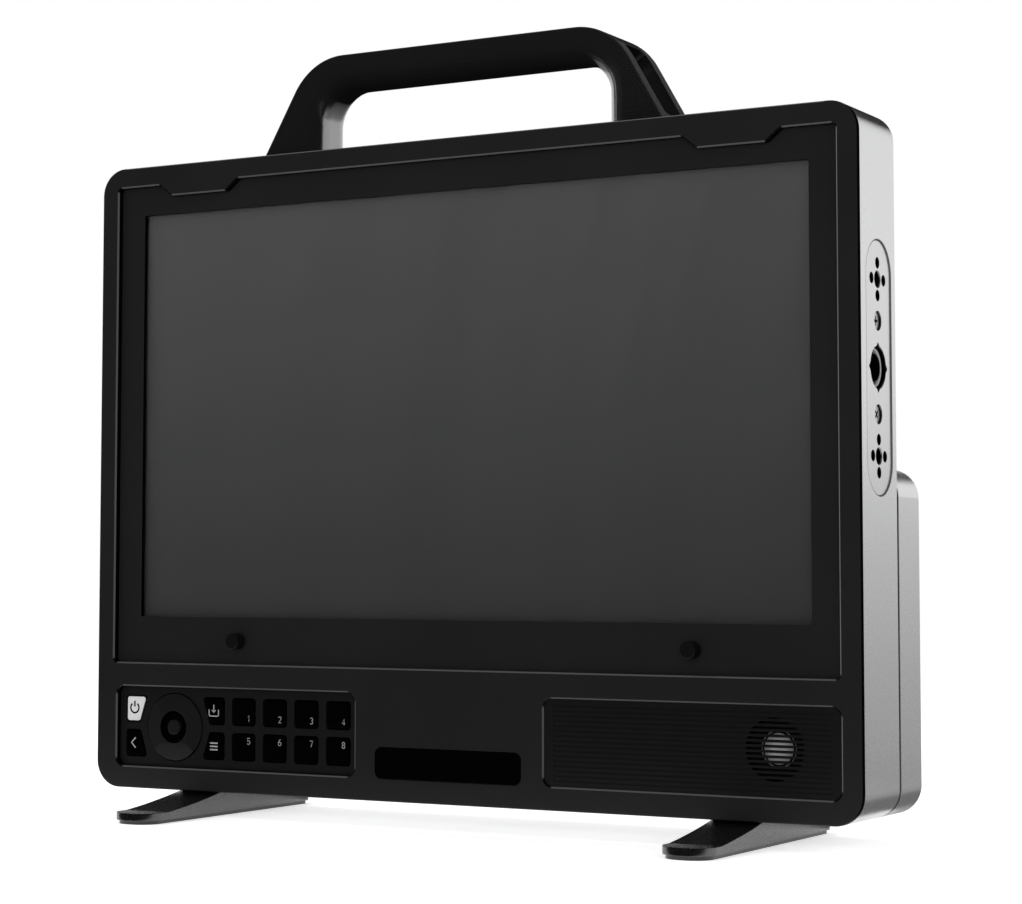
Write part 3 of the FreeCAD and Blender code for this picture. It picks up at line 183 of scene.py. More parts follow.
def awayFrom(tree, place, axis):  # distance from an axis along Y
    away = tree.nodes.new("ShaderNodeVectorMath")
    away.operation = "DISTANCE"
    tree.links.new(stretchPlace(tree, place, (1, 0, 1)), away.inputs[0])
    away.inputs[1].default_value = axis
    return away.outputs["Value"]


def shadeRingMask(tree, place, shadeRing):  # painted shade: a dark ring between two radii
    middle = (shadeRing["inner"] + shadeRing["outer"]) / 2
    return compute(tree, "COMPARE", awayFrom(tree, place, shadeRing["axis"]), middle, shadeRing["outer"] - middle)


def domeShadeMask(tree, place, domeShade):  # painted shade growing from the middle of a dome to its rim
    return spread(tree, awayFrom(tree, place, domeShade["axis"]), 0.0, 1.0, domeShade["inner"], domeShade["outer"])


def seamShadeMask(tree, place, seam):  # painted shade near a seam across Y, below its top
    spot = axesOf(tree, place)
    offset = compute(tree, "ABSOLUTE", compute(tree, "SUBTRACT", spot["Y"], seam["y"]))
    low = compute(tree, "LESS_THAN", spot["Z"], seam["top"])
    return compute(tree, "MULTIPLY", low, spread(tree, offset, 1.0, 0.0, seam["dark"], seam["reach"]))


def edgeMask(tree, roundNormal, reach):  # where the bevelled normal leaves the true one
    geometry = tree.nodes.new("ShaderNodeNewGeometry")
    dot = tree.nodes.new("ShaderNodeVectorMath")
    dot.operation = "DOT_PRODUCT"
    tree.links.new(roundNormal, dot.inputs[0])
    tree.links.new(geometry.outputs["Normal"], dot.inputs[1])
    return spread(tree, dot.outputs["Value"], 1.0, 0.0, 1.0 - reach, 0.999)


def mouldedPlastic(name, look):  # fine-grained plastic, its edges lighter: partly wear from hands, partly a painted highlight
    mat, tree, skin, place = startFinish(name)
    colour = look["colour"]
    clouds = speckle(tree, place, 14.0, 3.0)
    grain = speckle(tree, place, look["grain"], 2.0)
    tint = mixColour(tree, clouds, shade(colour, 0.82), shade(colour, 1.18))
    normal = roundEdges(tree, look["edge"]) if look.get("edge") else None
    # edges painted lighter: wear from hands, and a painted highlight along them
    if look.get("wearAndEdgeHighlight"):
        wearAndEdgeHighlight = edgeMask(tree, normal, 0.25)
        wornAndHighlitEdge = compute(tree, "MULTIPLY", wearAndEdgeHighlight, spread(tree, clouds, 0.2 * look["wearAndEdgeHighlight"], look["wearAndEdgeHighlight"]))
        tint = mixColour(tree, wornAndHighlitEdge, tint, shade(colour, 3.5))
    gleam = skin.inputs["Specular IOR Level"]
    gleam.default_value = look["specular"]
    if look.get("mouth"):
        # painted light round the openings: shade painted on walls, bevel corners and flanks, then highlights
        # painted on the bevels and along the top edge
        bevelHighlight, bevelAndWallShade, flank, crestHighlight = paintedLightMasks(tree, place)
        tint = mixColour(tree, compute(tree, "MAXIMUM", bevelAndWallShade, flank), tint, shade(colour, 0.12))
        tint = mixColour(tree, bevelHighlight, tint, look["mouth"])
        tint = mixColour(tree, crestHighlight, tint, look["crestHighlight"])
        tree.links.new(spread(tree, flank, look["specular"], 0.0, 0.0, 1.0), gleam)
    # painted highlight: the middle kept light, painted shade towards the rim
    if look.get("domeShade"):
        domeShade = domeShadeMask(tree, place, look["domeShade"])
        tint = mixColour(tree, domeShade, tint, shade(colour, look["domeShade"]["share"]))
    # a ring of painted shade, which also loses its gloss
    if look.get("shadeRing"):
        shadeRing = shadeRingMask(tree, place, look["shadeRing"])
        tint = mixColour(tree, shadeRing, tint, shade(colour, look["shadeRing"]["share"]))
        tree.links.new(spread(tree, shadeRing, look["specular"], 0.0, 0.0, 1.0), gleam)
    tree.links.new(tint, skin.inputs["Base Color"])
    rough = look["roughness"]
    tree.links.new(spread(tree, grain, rough - 0.05, rough + 0.06), skin.inputs["Roughness"])
    tree.links.new(relief(tree, grain, look["depth"], normal), skin.inputs["Normal"])
    if look.get("ior"):
        skin.inputs["IOR"].default_value = look["ior"]
    if look.get("coat"):  # a gloss coat, taken off with the gloss on faces turned down so they render dark: painted shade on the undersides
        facing = axesOf(tree, tree.nodes.new("ShaderNodeNewGeometry").outputs["Normal"])
        glossExceptUnderside = spread(tree, facing["Z"], 0.0, 1.0, -0.7, -0.2)
        tree.links.new(spread(tree, glossExceptUnderside, 0.0, look["coat"], 0.0, 1.0), skin.inputs["Coat Weight"])
        tree.links.new(spread(tree, glossExceptUnderside, 0.0, look["specular"], 0.0, 1.0), gleam)
        skin.inputs["Coat Roughness"].default_value = 0.12
    return mat


def blastedMetal(name, look):  # bead-blasted or cast metal
    mat, tree, skin, place = startFinish(name)
    colour = look["colour"]
    clouds = speckle(tree, place, 9.0, 3.0)
    beads = speckle(tree, place, look["beads"], 1.0)
    tint = mixColour(tree, clouds, shade(colour, 0.965), shade(colour, 1.03))
    tint = mixColour(tree, spread(tree, beads, 0.0, 1.0), shade(colour, 0.94), tint)
    if look.get("faceX"):  # painted shade: the holes behind the face darkened, as if unlit
        face = look["faceX"]
        inside = spread(tree, axesOf(tree, place)["X"], 1.0, 0.0, face - 0.0009, face - 0.0004)
        tint = mixColour(tree, inside, tint, look["inside"])
    if look.get("seam"):  # painted shade in the groove between the housing and the rear box
        tint = mixColour(tree, seamShadeMask(tree, place, look["seam"]), tint, shade(colour, 0.25))
    tree.links.new(tint, skin.inputs["Base Color"])
    skin.inputs["Metallic"].default_value = 1.0
    rough = look["roughness"]
    tree.links.new(spread(tree, beads, rough - 0.04, rough + 0.05), skin.inputs["Roughness"])
    normal = roundEdges(tree, look["edge"])
    tree.links.new(relief(tree, beads, look["depth"], normal), skin.inputs["Normal"])
    return mat


def brushedMetal(name, look):  # long scratches along one axis
    mat, tree, skin, place = startFinish(name)
    colour = look["colour"]
    lines = speckle(tree, stretchPlace(tree, place, look["stretch"]), look["lines"], 3.0)
    tint = mixColour(tree, lines, shade(colour, 0.86), shade(colour, 1.12))
    tree.links.new(tint, skin.inputs["Base Color"])
    skin.inputs["Metallic"].default_value = 1.0
    rough = look["roughness"]
    tree.links.new(spread(tree, lines, rough - 0.06, rough + 0.08), skin.inputs["Roughness"])
    tree.links.new(relief(tree, lines, 0.00002, roundEdges(tree, 0.0002)), skin.inputs["Normal"])
    return mat


def glossPlastic(name, look):  # polished plastic with faint smears
    mat, tree, skin, place = startFinish(name)
    colour = look["colour"]
    smear = speckle(tree, place, 60.0, 4.0)
    tint = mixColour(tree, smear, shade(colour, 0.85), shade(colour, 1.15))
    if look.get("sinkY"):  # painted shade on the key's sides down in its window
        shadedSides = spread(tree, axesOf(tree, place)["Y"], 0.0, 1.0, look["sinkY"], look["sinkY"] + 0.0003)
        tint = mixColour(tree, shadedSides, tint, shade(colour, 0.01))
    tree.links.new(tint, skin.inputs["Base Color"])
    rough = look["roughness"]
    tree.links.new(spread(tree, smear, rough - 0.03, rough + 0.06), skin.inputs["Roughness"])
    orange = speckle(tree, place, 700.0, 1.0)
    tree.links.new(relief(tree, orange, 0.000004, roundEdges(tree, 0.0002)), skin.inputs["Normal"])
    skin.inputs["Specular IOR Level"].default_value = look["specular"]
    return mat


def softRubber(name, look):  # matte rubber with a dusty bloom
    mat, tree, skin, place = startFinish(name)
    colour = look["colour"]
    bloom = speckle(tree, place, 25.0, 5.0)
    pores = speckle(tree, place, 1600.0, 1.0)
    tree.links.new(mixColour(tree, bloom, colour, shade(colour, 1.5)), skin.inputs["Base Color"])
    rough = look["roughness"]
    tree.links.new(spread(tree, bloom, rough - 0.06, rough + 0.08), skin.inputs["Roughness"])
    tree.links.new(relief(tree, pores, 0.00003, roundEdges(tree, 0.0003)), skin.inputs["Normal"])
    skin.inputs["Specular IOR Level"].default_value = look["specular"]
    return mat


def circuitBoard(name, look):  # green mask over copper tracks, with pads
    mat, tree, skin, place = startFinish(name)
    tracks = tree.nodes.new("ShaderNodeTexBrick")
    tracks.inputs["Scale"].default_value = look["tracks"]
    tracks.inputs["Mortar Size"].default_value = 0.06
    tracks.inputs["Color1"].default_value = (*look["mask"], 1.0)
    tracks.inputs["Color2"].default_value = (*shade(look["mask"], 1.25), 1.0)
    tracks.inputs["Mortar"].default_value = (*look["copper"], 1.0)
    turn = tree.nodes.new("ShaderNodeMapping")
    quarter = math.radians(90)
    turn.inputs["Rotation"].default_value = (quarter, 0, 0) if look["facing"] == "y" else (0, quarter, 0)
    tree.links.new(place, turn.inputs["Vector"])
    tree.links.new(turn.outputs["Vector"], tracks.inputs["Vector"])
    cells = tree.nodes.new("ShaderNodeTexVoronoi")
    cells.inputs["Scale"].default_value = look["pads"]
    tree.links.new(place, cells.inputs["Vector"])
    pads = spread(tree, cells.outputs["Distance"], 1.0, 0.0, 0.10, 0.16)
    tree.links.new(mixColour(tree, pads, tracks.outputs["Color"], look["tin"]), skin.inputs["Base Color"])
    tree.links.new(pads, skin.inputs["Metallic"])
    tree.links.new(spread(tree, speckle(tree, place, 90.0), 0.3, 0.45), skin.inputs["Roughness"])
    tree.links.new(relief(tree, tracks.outputs["Fac"], 0.00004), skin.inputs["Normal"])
    return mat


def pressedPaper(name, look):  # loudspeaker cone, ringed round its own axis
    mat, tree, skin, place = startFinish(name)
    shift = tree.nodes.new("ShaderNodeMapping")
    shift.inputs["Location"].default_value = -look["axis"]
    tree.links.new(place, shift.inputs["Vector"])
    rings = tree.nodes.new("ShaderNodeTexWave")
    rings.wave_type = "RINGS"
    rings.rings_direction = "Y"
    rings.inputs["Scale"].default_value = look["rings"]
    tree.links.new(shift.outputs["Vector"], rings.inputs["Vector"])
    fibre = speckle(tree, place, 900.0, 4.0)
    tint = mixColour(tree, fibre, look["colour"], shade(look["colour"], 1.8))
    tree.links.new(tint, skin.inputs["Base Color"])
    skin.inputs["Roughness"].default_value = 0.85
    tree.links.new(relief(tree, rings.outputs["Fac"], 0.0002), skin.inputs["Normal"])
    return mat


def milkySheet(name, look):  # light-spreading sheets of the backlight
    mat, tree, skin, place = startFinish(name)
    dots = tree.nodes.new("ShaderNodeTexVoronoi")
    dots.inputs["Scale"].default_value = look["dots"]
    tree.links.new(place, dots.inputs["Vector"])
    tone = spread(tree, dots.outputs["Distance"], 0.0, 1.0, 0.1, 0.6)
    tint = mixColour(tree, tone, look["colour"], shade(look["colour"], 0.93))
    tree.links.new(tint, skin.inputs["Base Color"])
    tree.links.new(spread(tree, dots.outputs["Distance"], 0.25, 0.4, 0.1, 0.6), skin.inputs["Roughness"])
    if look.get("clear"):
        skin.inputs["Transmission Weight"].default_value = look["clear"]
    return mat


# the screen: an off display behind coated glass, with a painted reflection lighter at the top

# top and bottom colours: a painted reflection, lighter at the top than at the bottom
displayLook = {
    "top": (0.203, 0.203, 0.203), "bottom": (0.096, 0.096, 0.096), "dots": 3900.0, "roughness": 0.5,
}


def offDisplay(name, look):
    mat, tree, skin, place = startFinish(name)
    low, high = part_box("display_panel")
    # painted reflection: lighter towards the top
    rise = spread(tree, axesOf(tree, place)["Z"], 0.0, 1.0, low.z, high.z)
    picture = mixColour(tree, rise, look["bottom"], look["top"])
    cells = tree.nodes.new("ShaderNodeTexChecker")
    cells.inputs["Scale"].default_value = look["dots"]
    cells.inputs["Color1"].default_value = (1.0, 1.0, 1.0, 1.0)
    cells.inputs["Color2"].default_value = (0.93, 0.93, 0.93, 1.0)
    tree.links.new(place, cells.inputs["Vector"])
    raster = tree.nodes.new("ShaderNodeVectorMath")
    raster.operation = "MULTIPLY"
    tree.links.new(picture, raster.inputs[0])
    tree.links.new(cells.outputs["Color"], raster.inputs[1])
    tree.links.new(raster.outputs["Vector"], skin.inputs["Base Color"])
    rough = look["roughness"]
    tree.links.new(spread(tree, rise, rough - 0.03, rough + 0.03), skin.inputs["Roughness"])
    skin.inputs["Specular IOR Level"].default_value = 0.1
    return mat


glassLook = {"colour": (0.03, 0.03, 0.031), "alpha": 0.06, "roughness": 0.22, "specular": 0.25}


def coatedGlass(name, look):
    mat, tree, skin, place = startFinish(name)
    haze = speckle(tree, place, 7.0, 3.0)
    tint = mixColour(tree, haze, shade(look["colour"], 0.95), shade(look["colour"], 1.05))
    tree.links.new(tint, skin.inputs["Base Color"])
    rough = look["roughness"]
    tree.links.new(spread(tree, haze, rough - 0.02, rough + 0.02), skin.inputs["Roughness"])
    skin.inputs["Specular IOR Level"].default_value = look["specular"]
    skin.inputs["Alpha"].default_value = look["alpha"]
    return mat


# finishes, each with the values a maker would change

padAxis = axisThrough("pad_ring")
capAxis = axisThrough("speaker_dust_cap")
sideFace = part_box("side_panel")[1].x

# edges lighter with wear and a painted highlight; the two light greys are highlights painted on the openings'
# bevels and on the top edge
bezelPlastic = mouldedPlastic("bezelPlastic", {
    "colour": (0.0145, 0.0145, 0.0152), "grain": 2600.0, "depth": 0.000018, "roughness": 0.42,
    "specular": 0.22, "wearAndEdgeHighlight": 0.3, "edge": 0.0004,
    "mouth": (0.175, 0.175, 0.178), "crestHighlight": (0.12, 0.12, 0.121),
})
keypadPlastic = mouldedPlastic("keypadPlastic", {
    "colour": (0.009, 0.009, 0.0093), "grain": 3000.0, "depth": 0.00001, "roughness": 0.42,
    "specular": 0.16, "edge": 0.0002,
})
# a ring of painted shade on the pad, round its centre
padPlastic = mouldedPlastic("padPlastic", {
    "colour": (0.0095, 0.0095, 0.0099), "grain": 3200.0, "depth": 0.000008, "roughness": 0.36,
    "specular": 0.3, "edge": 0.0002,
    "shadeRing": {"axis": padAxis, "inner": 0.00425, "outer": 0.00896, "share": 0.1},
})
grillePlastic = mouldedPlastic("grillePlastic", {
    "colour": (0.008, 0.008, 0.0082), "grain": 2600.0, "depth": 0.000012, "roughness": 0.45,
    "specular": 0.22, "edge": 0.0002,
})
# faces turned down lose coat and gloss: painted shade on the undersides
handleCoat = mouldedPlastic("handleCoat", {
    "colour": (0.0085, 0.0085, 0.0088), "grain": 3200.0, "depth": 0.000003, "roughness": 0.2,
    "specular": 0.5, "ior": 2.8, "coat": 1.0,
})
# edges lighter with wear and a painted highlight
footCoat = mouldedPlastic("footCoat", {
    "colour": (0.006, 0.006, 0.0065), "grain": 1800.0, "depth": 0.000003, "roughness": 0.26,
    "specular": 0.5, "wearAndEdgeHighlight": 0.15, "edge": 0.0004, "ior": 2.0,
})
pegPlastic = mouldedPlastic("pegPlastic", {
    "colour": (0.006, 0.006, 0.0065), "grain": 2400.0, "depth": 0.000006, "roughness": 0.32,
    "specular": 0.3, "edge": 0.0003,
})
platePaint = mouldedPlastic("platePaint", {
    "colour": (0.008, 0.008, 0.0085), "grain": 2400.0, "depth": 0.000015, "roughness": 0.5,
    "specular": 0.3, "edge": 0.0002,
})
mouldLook = {
    "colour": (0.010, 0.010, 0.0105), "grain": 2000.0, "depth": 0.00002, "roughness": 0.5,
    "specular": 0.35, "edge": 0.0002,
}
fanPlastic = mouldedPlastic("fanPlastic", mouldLook)
inletPlastic = mouldedPlastic("inletPlastic", mouldLook)
pivotPlastic = mouldedPlastic("pivotPlastic", {
    "colour": (0.05, 0.05, 0.053), "grain": 2000.0, "depth": 0.00001, "roughness": 0.45,
    "specular": 0.4, "edge": 0.0002,
})
# a line of painted shade in the groove at the rear box
silverCase = blastedMetal("silverCase", {
    "colour": (0.70, 0.702, 0.706), "beads": 5200.0, "depth": 0.000010, "roughness": 0.26, "edge": 0.0004,
    "seam": {"y": frontY + 0.0517, "top": soleZ + 0.1738, "dark": 0.0006, "reach": 0.0011},
})
# the holes behind the face painted dark as shade
sideSilver = blastedMetal("sideSilver", {
    "colour": (0.69, 0.692, 0.696), "beads": 5200.0, "depth": 0.000010, "roughness": 0.28, "edge": 0.0002,
    "faceX": sideFace, "inside": (0.004, 0.004, 0.004),
})
buttonSilver = blastedMetal("buttonSilver", {
    "colour": (0.62, 0.625, 0.635), "beads": 4200.0, "depth": 0.000008, "roughness": 0.34, "edge": 0.0002,
})
rimLook = {
    "colour": (0.5, 0.5, 0.505), "grain": 3000.0, "depth": 0.000002, "roughness": 0.4,
    "specular": 0.3, "edge": 0.0001,
}
collarSilver = mouldedPlastic("collarSilver", {**rimLook, "colour": (0.6, 0.602, 0.606)})
# a light colour, painted darker towards the rim: a painted highlight in the middle of the dome; a ring of
# painted shade in the gap round it
dustCapFoil = mouldedPlastic("dustCapFoil", {
    "colour": (0.88, 0.882, 0.886), "grain": 3000.0, "depth": 0.000002, "roughness": 0.35,
    "specular": 0.5, "edge": 0.0001,
    "domeShade": {"axis": capAxis, "inner": 0.003, "outer": 0.008, "share": 0.5},
    "shadeRing": {"axis": capAxis, "inner": 0.0077, "outer": 0.0090, "share": 0.003},
})
capRimFoil = mouldedPlastic("capRimFoil", rimLook)
jackNickel = blastedMetal("jackNickel", {
    "colour": (0.62, 0.60, 0.56), "beads": 4000.0, "depth": 0.000003, "roughness": 0.22, "edge": 0.0002,
})
socketTin = blastedMetal("socketTin", {
    "colour": (0.56, 0.565, 0.57), "beads": 3000.0, "depth": 0.000004, "roughness": 0.28, "edge": 0.0001,
})
magnetFerrite = blastedMetal("magnetFerrite", {
    "colour": (0.10, 0.10, 0.105), "beads": 1500.0, "depth": 0.00004, "roughness": 0.6, "edge": 0.0003,
})
contactGold = blastedMetal("contactGold", {
    "colour": (0.83, 0.60, 0.26), "beads": 2500.0, "depth": 0.000003, "roughness": 0.2, "edge": 0.0003,
})
keyGloss = glossPlastic("keyGloss", {"colour": (0.0009, 0.0009, 0.001), "roughness": 0.2, "specular": 0.04})
# the key's sides down in its window painted dark as shade
keyWhite = glossPlastic("keyWhite", {
    "colour": (0.75, 0.75, 0.752), "roughness": 0.3, "specular": 0.4, "sinkY": frontY + 0.0036,
})
badgeGloss = glossPlastic("badgeGloss", {
    "colour": (0.0009, 0.0009, 0.001), "roughness": 0.16, "specular": 0.1,
})
insulatorWhite = glossPlastic("insulatorWhite", {
    "colour": (0.78, 0.78, 0.76), "roughness": 0.35, "specular": 0.4,
})
printWhite = glossPlastic("printWhite", {"colour": (0.46, 0.465, 0.475), "roughness": 0.5, "specular": 0.3})
printGrey = glossPlastic("printGrey", {"colour": (0.42, 0.42, 0.42), "roughness": 0.5, "specular": 0.2})
printDark = glossPlastic("printDark", {"colour": (0.004, 0.004, 0.004), "roughness": 0.5, "specular": 0.05})
soleRubber = softRubber("soleRubber", {"colour": (0.006, 0.006, 0.0065), "roughness": 0.3, "specular": 0.8})
seamRubber = softRubber("seamRubber", {"colour": (0.13, 0.13, 0.13), "roughness": 0.8, "specular": 0.1})
sealRubber = softRubber("sealRubber", {"colour": (0.008, 0.008, 0.008), "roughness": 0.8, "specular": 0.2})
stickRubber = softRubber("stickRubber", {
    "colour": (0.0005, 0.0005, 0.0005), "roughness": 0.7, "specular": 0.0,
})
boardLook = {
    "mask": (0.012, 0.085, 0.035), "copper": (0.05, 0.17, 0.06), "tin": (0.6, 0.6, 0.58),
    "tracks": 55.0, "pads": 160.0,
}
boardGreen = circuitBoard("boardGreen", {**boardLook, "facing": "y"})
boardGreenSide = circuitBoard("boardGreenSide", {**boardLook, "facing": "x"})
trayMetal = brushedMetal("trayMetal", {
    "colour": (0.66, 0.665, 0.67), "stretch": (1, 1, 30), "lines": 60.0, "roughness": 0.38,
})
plateSteel = brushedMetal("plateSteel", {
    "colour": (0.42, 0.42, 0.43), "stretch": (1, 1, 40), "lines": 50.0, "roughness": 0.4,
})
basketSteel = brushedMetal("basketSteel", {
    "colour": (0.02, 0.02, 0.021), "stretch": (1, 8, 1), "lines": 120.0, "roughness": 0.4,
})
sinkMetal = brushedMetal("sinkMetal", {
    "colour": (0.03, 0.03, 0.032), "stretch": (30, 1, 1), "lines": 60.0, "roughness": 0.45,
})
screwSteel = brushedMetal("screwSteel", {
    "colour": (0.34, 0.34, 0.35), "stretch": (1, 1, 1), "lines": 700.0, "roughness": 0.35,
})
conePaper = pressedPaper("conePaper", {"colour": (0.003, 0.003, 0.003), "rings": 90.0, "axis": capAxis})
diffuserSheet = milkySheet("diffuserSheet", {"colour": (0.82, 0.82, 0.80), "dots": 500.0})
guideAcrylic = milkySheet("guideAcrylic", {"colour": (0.86, 0.89, 0.89), "dots": 300.0, "clear": 0.8})
lampStrip = milkySheet("lampStrip", {"colour": (0.80, 0.70, 0.30), "dots": 260.0})
displayFace = offDisplay("displayFace", displayLook)
screenGlass = coatedGlass("screenGlass", glassLook)

nodeFinish = {
    "front_bezel": bezelPlastic, "hood_pegs": pegPlastic, "badge_plate": badgeGloss,
    "screen_gasket": sealRubber, "cover_glass": screenGlass, "display_panel": displayFace,
    "diffuser_sheet": diffuserSheet, "light_guide": guideAcrylic, "light_strip": lampStrip,
    "backlight_tray": trayMetal, "keypad_panel": keypadPlastic, "key_membrane": sealRubber,
    "key_board": boardGreen, "pad_ring": padPlastic, "pad_pivot_ring": pivotPlastic, "pad_button": padPlastic,
    "speaker_grille": grillePlastic, "speaker_frame": basketSteel, "speaker_cone": conePaper,
    "speaker_dust_cap": dustCapFoil, "speaker_magnet": magnetFerrite, "main_housing": silverCase,
    "vesa_plate": plateSteel, "power_board": boardGreen, "rear_box": silverCase, "io_plate": platePaint,
    "coax_jacks": jackNickel, "data_sockets": socketTin, "power_inlet": inletPlastic,
    "main_board": boardGreen, "heat_sink": sinkMetal, "fan_frames": fanPlastic, "fan_rotor_left": fanPlastic,
    "fan_rotor_right": fanPlastic, "side_panel": sideSilver, "side_board": boardGreenSide,
    "plus_button": buttonSilver, "times_button": buttonSilver, "joystick_socket": pivotPlastic,
    "joystick_ring": pivotPlastic, "joystick_cap": stickRubber, "carry_handle": handleCoat,
    "foot_left": footCoat, "foot_right": footCoat, "foot_pads": soleRubber,
    "case_screws": screwSteel, "body_screws": screwSteel, "rear_screws": screwSteel,
    "power_key": keyWhite, "back_key": keyGloss, "input_key": keyGloss, "menu_key": keyGloss,
}
for number in range(1, 9):
    nodeFinish["key_%d" % number] = keyGloss
for nodeName, node in nodes.items():
    node.data.materials.clear()
    node.data.materials.append(nodeFinish[nodeName])
print("finishes laid on", len(nodeFinish), "nodes")


# printed signs: flat strokes laid on the key and button faces

signs = {
    "film": 0.03, "keyFace": 3.2, "buttonStroke": 1.3,
    "digitHeight": 3.3, "digitStroke": 0.46, "digitShift": 3.5, "digitDrop": 3.45,
}
toRight = Vector((1, 0, 0))
toUp = Vector((0, 0, 1))
toBack = Vector((0, 1, 0))


def arcPoints(cx, cy, radius, start, end, steps=28):
    turn = [math.radians(start + (end - start) * i / steps) for i in range(steps + 1)]
    return [(cx + radius * math.cos(a), cy + radius * math.sin(a)) for a in turn]


def flatMesh(curve, name):
    holder = bpy.data.objects.new(name + "Curve", curve)
    scene.collection.objects.link(holder)
    shaped = holder.evaluated_get(bpy.context.evaluated_depsgraph_get())
    mesh = bpy.data.meshes.new_from_object(shaped)
    bpy.data.objects.remove(holder)
    bpy.data.curves.remove(curve)
    return mesh


def addPiece(name, mesh, paint, body):
    mesh.materials.clear()
    mesh.materials.append(paint)
    piece = bpy.data.objects.new(name, mesh)
    scene.collection.objects.link(piece)
    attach(piece, body)


def strokeSign(name, strokes, width, origin, right, up, paint, body):
    curve = bpy.data.curves.new(name, "CURVE")
    curve.dimensions = "3D"
    curve.bevel_depth = width / 2 * mm
    curve.bevel_resolution = 3
    curve.use_fill_caps = True
    for stroke in strokes:
        line = curve.splines.new("POLY")
        line.points.add(len(stroke) - 1)
        for point, (u, v) in zip(line.points, stroke):
            point.co = (u * mm, v * mm, 0, 1)
    mesh = flatMesh(curve, name)
    mesh.transform(Matrix.Diagonal((1, 1, signs["film"] / width, 1)))
    turn = Matrix((right, up, right.cross(up))).transposed().to_4x4()
    mesh.transform(Matrix.Translation(origin) @ turn)
    addPiece(name, mesh, paint, body)


digitStrokes = {  # in a box one unit high
    1: [[(-0.14, 0.3), (0.05, 0.5), (0.05, -0.5)]],
    2: [arcPoints(0, 0.24, 0.26, 165, -38, 14) + [(-0.28, -0.5), (0.28, -0.5)]],
    3: [arcPoints(-0.02, 0.255, 0.245, 150, -90, 14), arcPoints(-0.02, -0.245, 0.255, 90, -150, 14)],
    4: [[(0.12, -0.5), (0.12, 0.5), (-0.29, -0.22), (0.3, -0.22)]],
    5: [[(0.24, 0.5), (-0.2, 0.5), (-0.23, 0.03)] + arcPoints(-0.01, -0.2, 0.3, 130, -145, 14)],
    6: [arcPoints(0, -0.22, 0.28, 180, -180, 20), [(-0.28, -0.22), (-0.24, 0.1), (-0.08, 0.36), (0.16, 0.5)]],
    7: [[(-0.27, 0.5), (0.27, 0.5), (-0.08, -0.5)]],
    8: [arcPoints(0, 0.26, 0.235, 0, 360, 20), arcPoints(0, -0.24, 0.262, 0, 360, 20)],
}
keySigns = {  # place on the front and strokes in millimetres
    "powerSign": {
        "at": (-206.7, 44.4), "stroke": 1.05, "paint": printDark, "on": "power_key", "slot": "print_dark",
        "lines": [arcPoints(0, 0.35, 2.85, 128, 412), [(0, 1.0), (0, 4.2)]],
    },
    "backSign": {
        "at": (-207.4, 25.05), "stroke": 0.95, "paint": printWhite, "on": "back_key", "slot": "print_white",
        "lines": [[(1.45, 2.9), (-1.4, 0.1), (1.4, -2.8)]],
    },
    "inputSign": {
        "at": (-151.9, 44.6), "stroke": 0.66, "paint": printWhite, "on": "input_key", "slot": "print_white",
        "lines": [
            [(-3.2, 0.6), (-3.2, -2.0)] + arcPoints(-2.3, -2.1, 0.9, 180, 270, 8)
            + arcPoints(2.3, -2.1, 0.9, 270, 360, 8) + [(3.2, 0.6)],
            [(0, 3.4), (0, -0.7)], [(-1.25, 0.35), (0, -0.95), (1.25, 0.35)],
        ],
    },
    "menuSign": {
        "at": (-151.7, 24.85), "stroke": 0.9, "paint": printWhite, "on": "menu_key", "slot": "print_white",
        "lines": [[(-2.6, v), (2.6, v)] for v in (1.8, 0, -1.8)],
    },
}
buttonSigns = {
    "plus_button": [[(-2.3, 0), (2.3, 0)], [(0, -2.3), (0, 2.3)]],
    "times_button": [[(-1.7, -1.7), (1.7, 1.7)], [(-1.7, 1.7), (1.7, -1.7)]],
}

for signName, sign in keySigns.items():
    x, height = sign["at"]
    spot = bodyPoint(x, signs["keyFace"], height)
    strokeSign(signName, sign["lines"], sign["stroke"], spot, toRight, toUp,
               sign["paint"], sign["on"])
for number in range(1, 9):
    keyName = "key_%d" % number
    middle = middleOf(keyName)
    drop = -signs["digitDrop"] if number <= 4 else signs["digitDrop"]
    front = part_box(keyName)[0].y
    spot = Vector((middle.x + signs["digitShift"] * mm, front, middle.z + drop * mm))
    tall = signs["digitHeight"]
    strokes = [[(u * tall, v * tall) for u, v in stroke] for stroke in digitStrokes[number]]
    strokeSign("digit%d" % number, strokes, signs["digitStroke"], spot, toRight, toUp,
               printGrey, keyName)
for body, strokes in buttonSigns.items():
    spot = middleOf(body)
    spot.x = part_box(body)[1].x
    signName = body.replace("_button", "Sign")
    strokeSign(signName, strokes, signs["buttonStroke"], spot, toBack, toUp, printDark, body)
print("signs printed")


# metal and plastic inserts inside the rear connectors

jackInsert = {  # profiles: radius, and reach over the floor of the jack
    "count": 4, "pitch": 26.0, "sink": 1.0,
    "insulator": [(3.8, -0.02), (3.8, 0.35), (3.5, 0.55), (1.5, 0.55), (1.3, 0.3), (1.3, -0.02)],
    "contact": [(0.85, -5.5), (0.85, 0.3), (0.7, 0.55), (0.45, 0.6), (0.4, -3.0)],
}
inletPins = {"count": 4, "circle": 5.2, "radius": 1.19, "root": -12.9, "tip": -2.75}
networkWires = {
    "place": 54.0, "pitch": 1.02, "count": 8, "mouth": 84.5, "height": 48.85, "stroke": 0.42,
    "bends": (-2.2, -9.0, -11.4),
}


